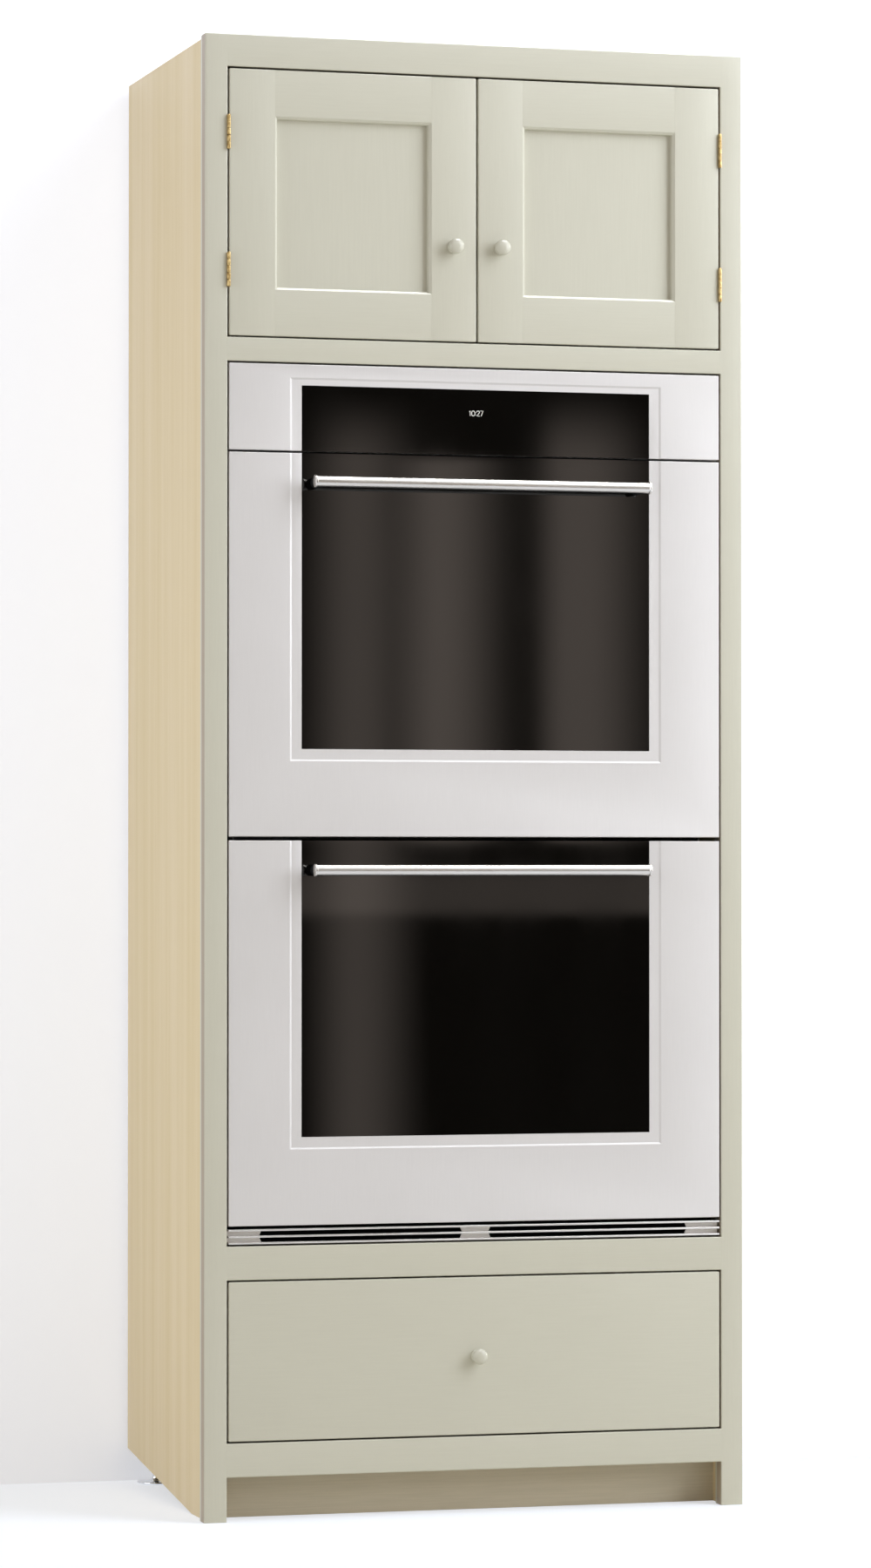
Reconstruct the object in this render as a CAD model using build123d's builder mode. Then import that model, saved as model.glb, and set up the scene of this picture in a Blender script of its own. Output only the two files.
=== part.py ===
from build123d import *
from math import asin, cos, sin
import os

# Tall oven housing unit: an in-frame kitchen cabinet with a two-door cupboard, a built-in double
# oven and one deep drawer. Millimetres, +Z up, the front faces -Y, and the origin is on the floor
# under the middle of the whole unit. Names ending in _y are measured back from the face of the
# front frame, so a negative one stands in front of it.

# ---- Driving dimensions -------------------------------------------------------------------

unit_width = 830.0
unit_height = 2176.0
unit_depth = 546.0
arris = 0.8

# Face frame
frame_thick = 27.0
stile_width = 34.0
bottom_rail_z = (65.0, 114.5)
oven_rail_z = (352.0, 401.5)
cupboard_rail_z = (1696.5, 1731.5)
top_rail_z = (2128.5, 2176.0)

# Carcass
board = 18.0
side_inset = 8.7
tilt_cut_start_y = 115.0
tilt_cut_rise = 52.0
back_thick = 8.0
back_y = 520.0
fixing_rail_height = 90.0
wall_screw_spacing = 600.0
wall_screw_radius = 3.0
plinth_y = 60.0

# Shelf and its pins
shelf_z = 1920.0
shelf_y = (40.0, 500.0)
shelf_play = 1.0
pin_radius = 2.5
pin_play = 0.05
pin_rows_y = (76.0, 470.0)
pin_pitch = 32.0
pin_holes_each_way = 2
pin_hole_depth = 10.0
pin_out = 8.0

# Rear levelling legs
leg_x = 367.5
leg_y = 515.0
foot_radius = 30.0
foot_disc = 5.0
foot_hub_radius = 12.0
foot_hub_top = 14.0
stem_radius = 6.0
stem_top = 80.0
screw_play = 0.05
socket_radius = 15.0
socket_low_z = 30.0
socket_flange_radius = 20.0
socket_flange = 5.0

# Cupboard doors
door_gap = 2.7
door_meet_gap = 3.2
door_z = (1734.0, 2125.6)
door_thick = 22.0
door_member = 69.0
door_rail = 68.4
panel_set_back = 11.0
panel_thick = 7.0
moulding_width = 3.5
moulding_lip = 1.0
moulding_set_back = 0.8
moulding_bevel_end = 8.0

# Knobs
knob_radius = 12.0
knob_out = 21.0
knob_neck_radius = 5.0
knob_base_radius = 7.0
knob_neck_out = 8.0
knob_rim_out = 13.5
knob_waist = 9.0
knob_from_middle = 36.0
door_knob_z = 1874.0
drawer_knob_z = 233.0

# Butt hinges of the cupboard doors
hinge_height = 50.0
hinge_z = (1830.0, 2032.0)
hinge_knuckles = 5
hinge_axis_x = 379.65
hinge_axis_y = -2.9
knuckle_radius = 2.7
leaf_thick = 1.2
leaf_depth = 22.0
hinge_pin_radius = 1.2
hinge_bore_radius = 1.25
hinge_tip_radius = 2.0
hinge_tip = 1.0
knuckle_gap = 0.15

# Drawer
drawer_front_z = (117.0, 349.5)
drawer_z = (132.0, 318.0)
drawer_side = 16.0
drawer_length = 450.0
drawer_base_thick = 10.0
drawer_base_up = 10.0

# Ball-bearing runners, one pair; webs and lips are measured inwards from the frame opening
runner_thick = 12.7
runner_length = 440.0
runner_sheet = 1.2
runner_z = 190.0
runner_y = 28.0
channel_lip = 8.0
channel_half_height = 22.5
middle_web = (2.5, 3.7)
middle_lip = (2.5, 10.2)
middle_half_height = 20.5
slide_lip = (5.0, 12.7)
slide_half_height = 18.5
packer_starts_y = (60.0, 380.0)
packer_size = 32.0

# Double oven, common to both compartments
oven_half_width = 378.5
oven_depth_y = (45.0, 520.0)
casing_half_width = 362.0
casing_sheet = 2.0
casing_height = 1290.5
front_sheet = 3.5
front_edge = 2.0
front_depth = 11.0
door_bottom_return = 6.0
window_half_width = 268.3
glass_thick = 4.0
recess_half_width = 286.4
recess_bevel = 2.6
recess_depth = 1.5
control_z = (1566.7, 1693.8)
control_window_top = 1662.8
control_recess_top = 1674.1
control_depth = 45.0
display_board_half_width = 160.0
display_board_border = 20.0
display_board_thick = 3.0
oven_door_height = 563.5
oven_door_bottoms = {"upper": 999.9, "lower": 430.9}
window_up = 128.9
recess_up = 110.9
pivot_up = 22.0
pivot_y = 11.0

# Inner door, seal and cavity, measured up from the bottom edge of their door
liner_half_width = 345.0
liner_y = (5.5, 38.0)
liner_sheet = 2.0
liner_up = (30.0, 545.0)
inner_window_half_width = 225.0
inner_window_up = (150.0, 440.0)
inner_pane_overlap = 12.0
ear_thick = 4.0
ear_half_depth = 7.0
ear_below = 6.0
pivot_pin_radius = 3.0
pivot_pin_past = 1.0
pivot_bore_radius = 3.05
arm_x = (346.0, 352.0)
arm_half_height = 4.0
arm_front_y = 5.0
flange_half_width = 358.0
flange_up = (1.0, 561.0)
flange_sheet = 2.0
cavity_half_width = 300.0
cavity_up = (75.0, 475.0)
cavity_back_y = 470.0
cavity_sheet = 2.0
seal_width = 12.0
seal_outside = 4.0

# Handles
handle_radius = 7.5
handle_half_length = 258.5
handle_y = -35.0
handle_up = 519.9
handle_cap_radius = 9.2
handle_cap = 3.0
handle_post_radius = 7.0
handle_post_x = 247.0

# Racks, guides, elements and fans, heights measured up from the bottom edge of their door
rack_levels_up = (150.0, 245.0, 340.0)
racks_on_levels = (0, 2)
guide_ledge = 12.0
guide_sheet = 2.0
guide_wire_radius = 2.5
guide_posts_y = (90.0, 400.0)
guide_posts_up = (110.0, 400.0)
guide_y = (60.0, 425.0)
rack_half_width = 294.0
rack_y = (62.0, 420.0)
rack_frame_radius = 3.0
rack_wire_radius = 1.5
rack_wires = 13
element_radius = 3.3
element_half_width = 210.0
element_runs = 6
element_y = (90.0, 400.0)
element_below_roof = 20.0
element_bend = 25.0
ring_radius = 92.0
ring_leg_x = 12.0
ring_leg_radius = 2.8
ring_y = 452.0
fan_up = 275.0
fan_radius = 70.0
fan_y = (448.0, 462.0)
fan_plate = 1.5
fan_blades = 10
fan_blade_thick = 1.5
fan_blade_span = (10.0, 67.0)
fan_hub_radius = 12.0
shaft_radius = 4.0
shaft_bore_radius = 4.05
shaft_back_y = 492.0
shaft_wall_hole = 8.0
cover_half_size = 108.0
cover_front_y = 436.0
cover_sheet = 1.5
cover_slot_length = 44.0
cover_slot_width = 5.0
cover_slots = 12
cover_slot_radius = 42.0
motor_radius = 35.0
motor_y = (472.0, 512.0)

# Vent grille below the lower oven door
vent_z = (404.3, 426.0)
vent_bar = 2.7
vent_plate_y = 11.5
vent_plate = 2.0
vent_slot_x = (20.3, 329.8)
vent_slant = 3.0

# Cable inlet on the back of the oven
inlet_x = 240.0
inlet_z = (700.0, 760.0)
inlet_width = 120.0
inlet_depth = 12.0
gland_radius = 10.0
gland_bore = 6.0
gland_length = 12.0

# ---- Worked out from the driving dimensions -----------------------------------------------

half_width = unit_width / 2
opening = half_width - stile_width
side_outer = half_width - side_inset
side_inner = side_outer - board
handle_reach = handle_cap_radius - handle_y
face_y = -(unit_depth - handle_reach) / 2
floor_under_z = bottom_rail_z[1] - board
door_outer = opening - door_gap
door_inner = door_meet_gap / 2

os.makedirs("parts", exist_ok=True)


def save(piece, name):
    """Label a finished piece and write it as the node of that name."""
    piece.part.label = name
    export_step(piece.part, f"parts/{name}.step")


def add_box(x, y, z, mode=Mode.ADD):
    """Box between two x, two y and two z values, y counted back from the face."""
    middle = (sum(x) / 2, face_y + sum(y) / 2, sum(z) / 2)
    with Locations(middle):
        Box(abs(x[1] - x[0]), abs(y[1] - y[0]), abs(z[1] - z[0]), mode=mode)


def add_rod(radius, start, end, mode=Mode.ADD):
    """Round bar between two points, y counted back from the face."""
    low = Vector(start[0], face_y + start[1], start[2])
    high = Vector(end[0], face_y + end[1], end[2])
    with Locations(Plane(origin=low, z_dir=high - low)):
        standing_on_end = (Align.CENTER, Align.CENTER, Align.MIN)
        Cylinder(radius, (high - low).length, align=standing_on_end, mode=mode)


def front_plane(depth):
    """Plane parallel to the front and facing forwards, so many millimetres behind the face."""
    return Plane.XZ.offset(-(face_y + depth))


def board_piece(x, y, z, eased_along=None, ease=arris):
    """A board; its front edges along one axis, or all of them, can be eased."""
    with BuildPart() as piece:
        add_box(x, y, z)
        front_edges = piece.edges().group_by(Axis.Y)[0]
        if eased_along == "all round":
            chamfer(front_edges, ease)
        elif eased_along:
            chamfer(front_edges.filter_by(eased_along), ease)
    return piece


def save_group(pieces, name):
    """Write separate solids that belong together as one node."""
    group = Compound(label=name, children=[piece.part for piece in pieces])
    export_step(group, f"parts/{name}.step")


def both(half):
    """The pair of values either side of the middle."""
    return (-half, half)


# ---- Face frame: rails between full-height stiles ------------------------------------------

for side, word in ((-1, "left"), (1, "right")):
    stile_x = (side * opening, side * half_width)
    stile = board_piece(stile_x, (0, frame_thick), (0, unit_height), Axis.Z)
    save(stile, f"stile_{word}")

rails = {
    "bottom_rail": bottom_rail_z,
    "oven_rail": oven_rail_z,
    "cupboard_rail": cupboard_rail_z,
    "top_rail": top_rail_z,
}
for rail_name, rail_z in rails.items():
    rail = board_piece(both(opening), (0, frame_thick), rail_z, Axis.X)
    save(rail, rail_name)

# ---- Carcass -------------------------------------------------------------------------------

# Each side stands on the floor at the front and rises in a straight cut behind, so that the
# unit can be tilted upright. Two rows of holes take the shelf pins.
pin_z = shelf_z - pin_radius
for side, word in ((-1, "left"), (1, "right")):
    with BuildPart() as side_panel:
        with BuildSketch(Plane.YZ.offset(min(side * side_inner, side * side_outer))):
            with BuildLine():
                Polyline(
                    (face_y + frame_thick, 0),
                    (face_y + tilt_cut_start_y, 0),
                    (face_y + unit_depth, tilt_cut_rise),
                    (face_y + unit_depth, unit_height),
                    (face_y + frame_thick, unit_height),
                    close=True,
                )
            make_face()
        extrude(amount=board)
        for row_y in pin_rows_y:
            for step in range(-pin_holes_each_way, pin_holes_each_way + 1):
                hole_z = pin_z + step * pin_pitch
                mouth = (side * side_inner, row_y, hole_z)
                bottom = (side * (side_inner + pin_hole_depth), row_y, hole_z)
                add_rod(pin_radius + pin_play, mouth, bottom, mode=Mode.SUBTRACT)
    save(side_panel, f"side_panel_{word}")

# Each level board lies flush with the top of its rail: its depth, and the z of its top face.
inside = both(side_inner)
levels = {
    "top_panel": (unit_depth, unit_height),
    "cupboard_floor": (back_y, cupboard_rail_z[1]),
    "oven_deck": (back_y, oven_rail_z[1]),
    "drawer_floor": (unit_depth, bottom_rail_z[1]),
}
for level_name, (level_back_y, level_top) in levels.items():
    level = board_piece(inside, (frame_thick, level_back_y), (level_top - board, level_top))
    save(level, level_name)

plinth = board_piece(inside, (plinth_y, plinth_y + board), (0, floor_under_z))
save(plinth, "plinth_board")
shelf = board_piece(both(side_inner - shelf_play), shelf_y, (shelf_z, shelf_z + board))
save(shelf, "cupboard_shelf")

# The wall screws pass through the cupboard's back and the fixing rail behind it.
fixing_rail_z = (unit_height - board - fixing_rail_height, unit_height - board)
wall_screw_z = sum(fixing_rail_z) / 2


def drill_wall_screws():
    """The two holes for the wall screws, right through from front to back."""
    for screw_x in both(wall_screw_spacing / 2):
        add_rod(
            wall_screw_radius,
            (screw_x, back_y, wall_screw_z),
            (screw_x, unit_depth, wall_screw_z),
            mode=Mode.SUBTRACT,
        )


with BuildPart() as fixing_rail:
    add_box(inside, (back_y + back_thick, unit_depth), fixing_rail_z)
    drill_wall_screws()
save(fixing_rail, "fixing_rail")

with BuildPart() as back_panels:
    back_span_y = (back_y, back_y + back_thick)
    add_box(inside, back_span_y, (cupboard_rail_z[1] - board, unit_height - board))
    add_box(inside, back_span_y, (bottom_rail_z[1], oven_rail_z[1]))
    drill_wall_screws()
save(back_panels, "back_panels")

with BuildPart() as shelf_pins:
    for side in (-1, 1):
        for row_y in pin_rows_y:
            inner_end = (side * (side_inner - pin_out), row_y, pin_z)
            outer_end = (side * (side_inner + pin_hole_depth), row_y, pin_z)
            add_rod(pin_radius, inner_end, outer_end)
save(shelf_pins, "shelf_pins")

# ---- Rear levelling legs: a screwed foot in a socket under the drawer floor -----------------

with BuildPart() as leg_sockets:
    for side in (-1, 1):
        add_rod(
            socket_flange_radius,
            (side * leg_x, leg_y, floor_under_z - socket_flange),
            (side * leg_x, leg_y, floor_under_z),
        )
        add_rod(
            socket_radius,
            (side * leg_x, leg_y, socket_low_z),
            (side * leg_x, leg_y, floor_under_z),
        )
        add_rod(
            stem_radius + screw_play,
            (side * leg_x, leg_y, socket_low_z),
            (side * leg_x, leg_y, floor_under_z - socket_flange / 2),
            mode=Mode.SUBTRACT,
        )
save(leg_sockets, "leg_sockets")

for side, word in ((-1, "left"), (1, "right")):
    foot_middle = Vector(side * leg_x, face_y + leg_y, 0)
    with BuildPart() as foot:
        with BuildSketch(Plane(origin=foot_middle, x_dir=(1, 0, 0), z_dir=(0, -1, 0))):
            with BuildLine():
                Polyline(
                    (0, stem_top),
                    (0, 0),
                    (foot_radius, 0),
                    (foot_radius, foot_disc / 2),
                    (foot_radius - foot_disc / 2, foot_disc),
                    (foot_hub_radius, foot_disc),
                    (stem_radius, foot_hub_top),
                    (stem_radius, stem_top),
                    close=True,
                )
            make_face()
        revolve(axis=Axis(foot_middle, (0, 0, 1)))
    save(foot, f"{word}_foot")

# ---- Cupboard doors: stiles, rails, and a flat panel with a moulding planted round it ---------

for side, word in ((-1, "left"), (1, "right")):
    meeting_x = (side * door_inner, side * (door_inner + door_member))
    hanging_x = (side * (door_outer - door_member), side * door_outer)
    panel_x = (meeting_x[1], hanging_x[0])
    panel_z = (door_z[0] + door_rail, door_z[1] - door_rail)
    through_y = (0, door_thick)
    frame_members = [
        board_piece(meeting_x, through_y, door_z, Axis.Z),
        board_piece(hanging_x, through_y, door_z, Axis.Z),
        board_piece(panel_x, through_y, (door_z[0], panel_z[0]), Axis.X),
        board_piece(panel_x, through_y, (panel_z[1], door_z[1]), Axis.X),
    ]
    save_group(frame_members, f"{word}_door_frame")

    panel = board_piece(panel_x, (panel_set_back, panel_set_back + panel_thick), panel_z)
    panel_middle = (sum(panel_x) / 2, sum(panel_z) / 2)
    panel_width = abs(panel_x[1] - panel_x[0])
    panel_height = panel_z[1] - panel_z[0]
    with BuildPart() as moulding:
        with BuildSketch(front_plane(panel_set_back)):
            with Locations(panel_middle):
                Rectangle(panel_width, panel_height)
                Rectangle(
                    panel_width - 2 * moulding_width,
                    panel_height - 2 * moulding_width,
                    mode=Mode.SUBTRACT,
                )
        extrude(amount=panel_set_back - moulding_set_back)
        for depth, border in ((moulding_bevel_end, moulding_width), (moulding_set_back, moulding_lip)):
            with BuildSketch(front_plane(depth)):
                with Locations(panel_middle):
                    Rectangle(panel_width - 2 * border, panel_height - 2 * border)
        loft(mode=Mode.SUBTRACT)
    save_group([panel, moulding], f"{word}_door_panel")


# ---- Knobs: turned mushrooms on a waisted neck ----------------------------------------------


def knob_piece(x, z):
    """A knob turned about a line standing out of the front, its face part of a sphere."""
    middle = Vector(x, face_y, z)
    dome = knob_out - knob_rim_out
    ball_radius = (knob_radius**2 + dome**2) / (2 * dome)
    half_angle = asin(knob_radius / ball_radius) / 2
    half_way = (
        ball_radius * sin(half_angle),
        ball_radius * (1 - cos(half_angle)) - knob_out,
    )
    with BuildPart() as knob:
        with BuildSketch(Plane(origin=middle, x_dir=(1, 0, 0), z_dir=(0, 0, 1))):
            with BuildLine():
                neck = (knob_neck_radius, -knob_neck_out)
                rim = (knob_radius, -knob_rim_out)
                Polyline((0, -knob_out), (0, 0), (knob_base_radius, 0))
                RadiusArc((knob_base_radius, 0), neck, knob_waist)
                RadiusArc(neck, rim, knob_waist)
                ThreePointArc(rim, half_way, (0, -knob_out))
            make_face()
        revolve(axis=Axis(middle, (0, 1, 0)))
    return knob


for side, word in ((-1, "left"), (1, "right")):
    save(knob_piece(side * knob_from_middle, door_knob_z), f"{word}_door_knob")
save(knob_piece(0, drawer_knob_z), "drawer_knob")

# ---- Butt hinges: leaves in the gap, knuckles standing proud of the face --------------------

knuckle_length = hinge_height / hinge_knuckles


def hinge_leaf(side, middle_z, leaf_x, first_knuckle):
    """One leaf with every second knuckle, bored for the pin."""
    low = middle_z - hinge_height / 2
    axis_x = side * hinge_axis_x
    with BuildPart() as leaf:
        add_box(leaf_x, (0, leaf_depth), (low, low + hinge_height))
        for index in range(first_knuckle, hinge_knuckles, 2):
            bottom = low + index * knuckle_length + knuckle_gap / 2
            top = low + (index + 1) * knuckle_length - knuckle_gap / 2
            add_rod(knuckle_radius, (axis_x, hinge_axis_y, bottom), (axis_x, hinge_axis_y, top))
            add_box(leaf_x, (hinge_axis_y / 2, 0), (bottom, top))
        bore_low = (axis_x, hinge_axis_y, low)
        bore_high = (axis_x, hinge_axis_y, low + hinge_height)
        add_rod(hinge_bore_radius, bore_low, bore_high, mode=Mode.SUBTRACT)
    return leaf


def hinge_pin(side, middle_z):
    """A pin with a small button at each end, clear of the knuckles."""
    reach = hinge_height / 2
    axis_x = side * hinge_axis_x
    with BuildPart() as pin:
        for radius, low, high in (
            (hinge_pin_radius, -reach, reach),
            (hinge_tip_radius, reach, reach + hinge_tip),
            (hinge_tip_radius, -reach - hinge_tip, -reach),
        ):
            start = (axis_x, hinge_axis_y, middle_z + low)
            end = (axis_x, hinge_axis_y, middle_z + high)
            add_rod(radius, start, end)
    return pin


frame_leaves = []
hinge_pins = []
for side, word in ((-1, "left"), (1, "right")):
    on_frame_x = (side * opening, side * (opening - leaf_thick))
    on_door_x = (side * door_outer, side * (door_outer + leaf_thick))
    frame_leaves += [hinge_leaf(side, middle_z, on_frame_x, 0) for middle_z in hinge_z]
    hinge_pins += [hinge_pin(side, middle_z) for middle_z in hinge_z]
    door_leaves = [hinge_leaf(side, middle_z, on_door_x, 1) for middle_z in hinge_z]
    save_group(door_leaves, f"{word}_hinge_leaves")
save_group(frame_leaves, "frame_hinge_leaves")
save_group(hinge_pins, "hinge_pins")

# ---- Drawer: a slab front on a solid box, running on ball-bearing runners --------------------

slab = board_piece(both(door_outer), (0, door_thick), drawer_front_z, "all round")
save(slab, "drawer_front")

box_outer = opening - runner_thick
box_inner = box_outer - drawer_side
box_y = (door_thick, door_thick + drawer_length)
base_y = (box_y[0] + drawer_side, box_y[1] - drawer_side)
base_z = (drawer_z[0] + drawer_base_up, drawer_z[0] + drawer_base_up + drawer_base_thick)
box_boards = [
    board_piece((-box_outer, -box_inner), box_y, drawer_z),
    board_piece((box_inner, box_outer), box_y, drawer_z),
    board_piece(both(box_inner), (box_y[0], base_y[0]), drawer_z),
    board_piece(both(box_inner), (base_y[1], box_y[1]), drawer_z),
    board_piece(both(box_inner), base_y, base_z),
]
save_group(box_boards, "drawer_box")


def add_runner_section(side, web, lips, half_height):
    """A channel-shaped length of runner: web and lips are measured inwards from the opening."""
    length_y = (runner_y, runner_y + runner_length)
    web_x = (side * (opening - web[0]), side * (opening - web[1]))
    lip_x = (side * (opening - lips[0]), side * (opening - lips[1]))
    add_box(web_x, length_y, (runner_z - half_height, runner_z + half_height))
    for sign in (-1, 1):
        edge = runner_z + sign * half_height
        add_box(lip_x, length_y, (edge - sign * runner_sheet, edge))


runner_parts = {
    "runner_channels": ((0, runner_sheet), (0, channel_lip), channel_half_height),
    "runner_middles": (middle_web, middle_lip, middle_half_height),
    "runner_slides": ((runner_thick - runner_sheet, runner_thick), slide_lip, slide_half_height),
}
for runner_name, (web, lips, half_height) in runner_parts.items():
    with BuildPart() as runner:
        for side in (-1, 1):
            add_runner_section(side, web, lips, half_height)
            if runner_name == "runner_channels":
                for packer_low_y in packer_starts_y:
                    packer_x = (side * opening, side * side_inner)
                    packer_y = (packer_low_y, packer_low_y + packer_size)
                    packer_z = (runner_z - packer_size / 2, runner_z + packer_size / 2)
                    add_box(packer_x, packer_y, packer_z)
    save(runner, runner_name)

# ---- Oven casing: flat sheets folded and screwed round the two cavities ---------------------

casing_z = (oven_rail_z[1], oven_rail_z[1] + casing_height)
side_sheet_z = (casing_z[0] + casing_sheet, casing_z[1] - casing_sheet)
casing_inner = casing_half_width - casing_sheet
casing_back_y = (oven_depth_y[1] - casing_sheet, oven_depth_y[1])
casing_sheets = [
    board_piece(both(casing_half_width), oven_depth_y, (casing_z[0], side_sheet_z[0])),
    board_piece(both(casing_half_width), oven_depth_y, (side_sheet_z[1], casing_z[1])),
    board_piece((-casing_half_width, -casing_inner), oven_depth_y, side_sheet_z),
    board_piece((casing_inner, casing_half_width), oven_depth_y, side_sheet_z),
    board_piece(both(casing_inner), casing_back_y, side_sheet_z),
]
save_group(casing_sheets, "oven_casing")

with BuildPart() as terminal_box:
    add_box(
        (inlet_x - inlet_width / 2, inlet_x + inlet_width / 2),
        (oven_depth_y[1], oven_depth_y[1] + inlet_depth),
        inlet_z,
    )
with BuildPart() as gland:
    gland_seat = (inlet_x, oven_depth_y[1] + inlet_depth, sum(inlet_z) / 2)
    gland_mouth = (gland_seat[0], gland_seat[1] + gland_length, gland_seat[2])
    add_rod(gland_radius, gland_seat, gland_mouth)
    add_rod(gland_bore, gland_seat, gland_mouth, mode=Mode.SUBTRACT)
save_group([terminal_box, gland], "cable_inlet")

# ---- Oven fronts: steel pressings with a bevelled step round a black glass ------------------


def front_pressing(z, depth_y, window_z, step_z, slant_z):
    """A shallow steel tray, open behind, with its window cut through a stepped-back border.

    step_z is the outer edge of the bevelled step and slant_z its inner edge; an open end of the
    window runs past the tray.
    """
    with BuildPart() as tray:
        add_box(both(oven_half_width), (0, depth_y), z)
        chamfer(tray.edges().group_by(Axis.Y)[0], arris)
        hollow_z = (z[0] + front_edge, z[1] - front_edge)
        hollow_y = (front_sheet, depth_y)
        add_box(both(oven_half_width - front_edge), hollow_y, hollow_z, mode=Mode.SUBTRACT)
        step_outlines = (
            (0, recess_half_width, step_z),
            (recess_depth, recess_half_width - recess_bevel, slant_z),
        )
        for depth, half_across, outline_z in step_outlines:
            with BuildSketch(front_plane(depth)):
                with Locations((0, sum(outline_z) / 2)):
                    Rectangle(2 * half_across, outline_z[1] - outline_z[0])
        loft(mode=Mode.SUBTRACT)
        glass_seat_y = (0, recess_depth + glass_thick)
        add_box(both(window_half_width), glass_seat_y, window_z, mode=Mode.SUBTRACT)
    return tray


past_edge = 5.0
glass_y = (recess_depth, recess_depth + glass_thick)

# Control panel: a closed box whose window is open at the bottom, over the touch glass.
below = control_z[0] - past_edge
control_panel = front_pressing(
    control_z,
    control_depth,
    (below, control_window_top),
    (below, control_recess_top),
    (below, control_recess_top - recess_bevel),
)
save(control_panel, "control_panel")
touch_glass = board_piece(both(window_half_width), glass_y, (control_z[0], control_window_top))
display_board = board_piece(
    both(display_board_half_width),
    (glass_y[1], glass_y[1] + display_board_thick),
    (control_z[0] + display_board_border, control_window_top - display_board_border),
)
save_group([touch_glass, display_board], "control_display")


def above(level, span):
    """A pair of heights counted up from an oven door's bottom edge."""
    return (level + span[0], level + span[1])


def oven_door_face(level):
    """The outer steel of one oven door, its window open at the top."""
    over = level + oven_door_height + past_edge
    step_low = level + recess_up
    tray = front_pressing(
        (level, level + oven_door_height),
        front_depth,
        (level + window_up, over),
        (step_low, over),
        (step_low + recess_bevel, over),
    )
    with BuildPart() as face:
        add(tray.part)
        cut_back_y = (door_bottom_return, front_depth)
        cut_back_z = (level, level + front_edge)
        add_box(both(oven_half_width), cut_back_y, cut_back_z, mode=Mode.SUBTRACT)
    return face


def oven_door_liner(level):
    """The inner pan of one oven door, with its window and an ear at each side for the pivot."""
    pivot_z = level + pivot_up
    pan_z = above(level, liner_up)
    with BuildPart() as pan:
        add_box(both(liner_half_width), liner_y, pan_z)
        add_box(
            both(liner_half_width - liner_sheet),
            (liner_y[0], liner_y[1] - liner_sheet),
            (pan_z[0] + liner_sheet, pan_z[1] - liner_sheet),
            mode=Mode.SUBTRACT,
        )
        window_z = above(level, inner_window_up)
        add_box(both(inner_window_half_width), liner_y, window_z, mode=Mode.SUBTRACT)
        for side in (-1, 1):
            ear_x = (side * (liner_half_width - ear_thick), side * liner_half_width)
            ear_y = (pivot_y - ear_half_depth, pivot_y + ear_half_depth)
            add_box(ear_x, ear_y, (pivot_z - ear_below, pan_z[0] + liner_sheet))
            bore_start = (ear_x[0], pivot_y, pivot_z)
            bore_end = (ear_x[1], pivot_y, pivot_z)
            add_rod(pivot_bore_radius, bore_start, bore_end, mode=Mode.SUBTRACT)
    return pan


def oven_door_handle(level):
    """A round bar with wider end caps, held off the glass by two posts saddled to it."""
    bar_z = level + handle_up
    bar_ends = [(end_x, handle_y, bar_z) for end_x in both(handle_half_length)]
    with BuildPart() as bar:
        add_rod(handle_radius, *bar_ends)
        for end_x in both(handle_half_length):
            inner_x = end_x - handle_cap if end_x > 0 else end_x + handle_cap
            add_rod(handle_cap_radius, (inner_x, handle_y, bar_z), (end_x, handle_y, bar_z))
    handle = [bar]
    for post_x in both(handle_post_x):
        with BuildPart() as post:
            foot = (post_x, recess_depth, bar_z)
            add_rod(handle_post_radius, foot, (post_x, handle_y, bar_z))
            add_rod(handle_radius, *bar_ends, mode=Mode.SUBTRACT)
        handle.append(post)
    return handle


# ---- Oven cavities, their racks and what heats them -------------------------------------------


def cavity_box(level):
    """An enamelled box open at the front, with a flange that the door closes against."""
    inner_z = above(level, cavity_up)
    with BuildPart() as cavity:
        add_box(
            both(cavity_half_width + cavity_sheet),
            (oven_depth_y[0], cavity_back_y + cavity_sheet),
            (inner_z[0] - cavity_sheet, inner_z[1] + cavity_sheet),
        )
        flange_y = (oven_depth_y[0] - flange_sheet, oven_depth_y[0])
        add_box(both(flange_half_width), flange_y, above(level, flange_up))
        hollow_y = (flange_y[0], cavity_back_y)
        add_box(both(cavity_half_width), hollow_y, inner_z, mode=Mode.SUBTRACT)
        hole_front = (0, cavity_back_y, level + fan_up)
        hole_back = (0, cavity_back_y + cavity_sheet, level + fan_up)
        add_rod(shaft_wall_hole, hole_front, hole_back, mode=Mode.SUBTRACT)
    return cavity


def door_seal(level):
    """A ring of soft seal on the flange, round the mouth of one cavity."""
    seal_y = (liner_y[1], oven_depth_y[0] - flange_sheet)
    around = seal_outside + seal_width
    low, high = above(level, cavity_up)
    with BuildPart() as seal:
        add_box(both(cavity_half_width + around), seal_y, (low - around, high + around))
        add_box(
            both(cavity_half_width + seal_outside),
            seal_y,
            (low - seal_outside, high + seal_outside),
            mode=Mode.SUBTRACT,
        )
    return seal


def door_pivot(side, level):
    """A fixed arm from the flange with the pin that one ear of the door turns on."""
    pivot_z = level + pivot_up
    arm_y = (arm_front_y, oven_depth_y[0] - flange_sheet)
    with BuildPart() as pivot:
        add_box(
            (side * arm_x[0], side * arm_x[1]),
            arm_y,
            (pivot_z - arm_half_height, pivot_z + arm_half_height),
        )
        pin_end = (side * (liner_half_width - ear_thick - pivot_pin_past), pivot_y, pivot_z)
        add_rod(pivot_pin_radius, (side * arm_x[0], pivot_y, pivot_z), pin_end)
    return pivot


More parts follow.
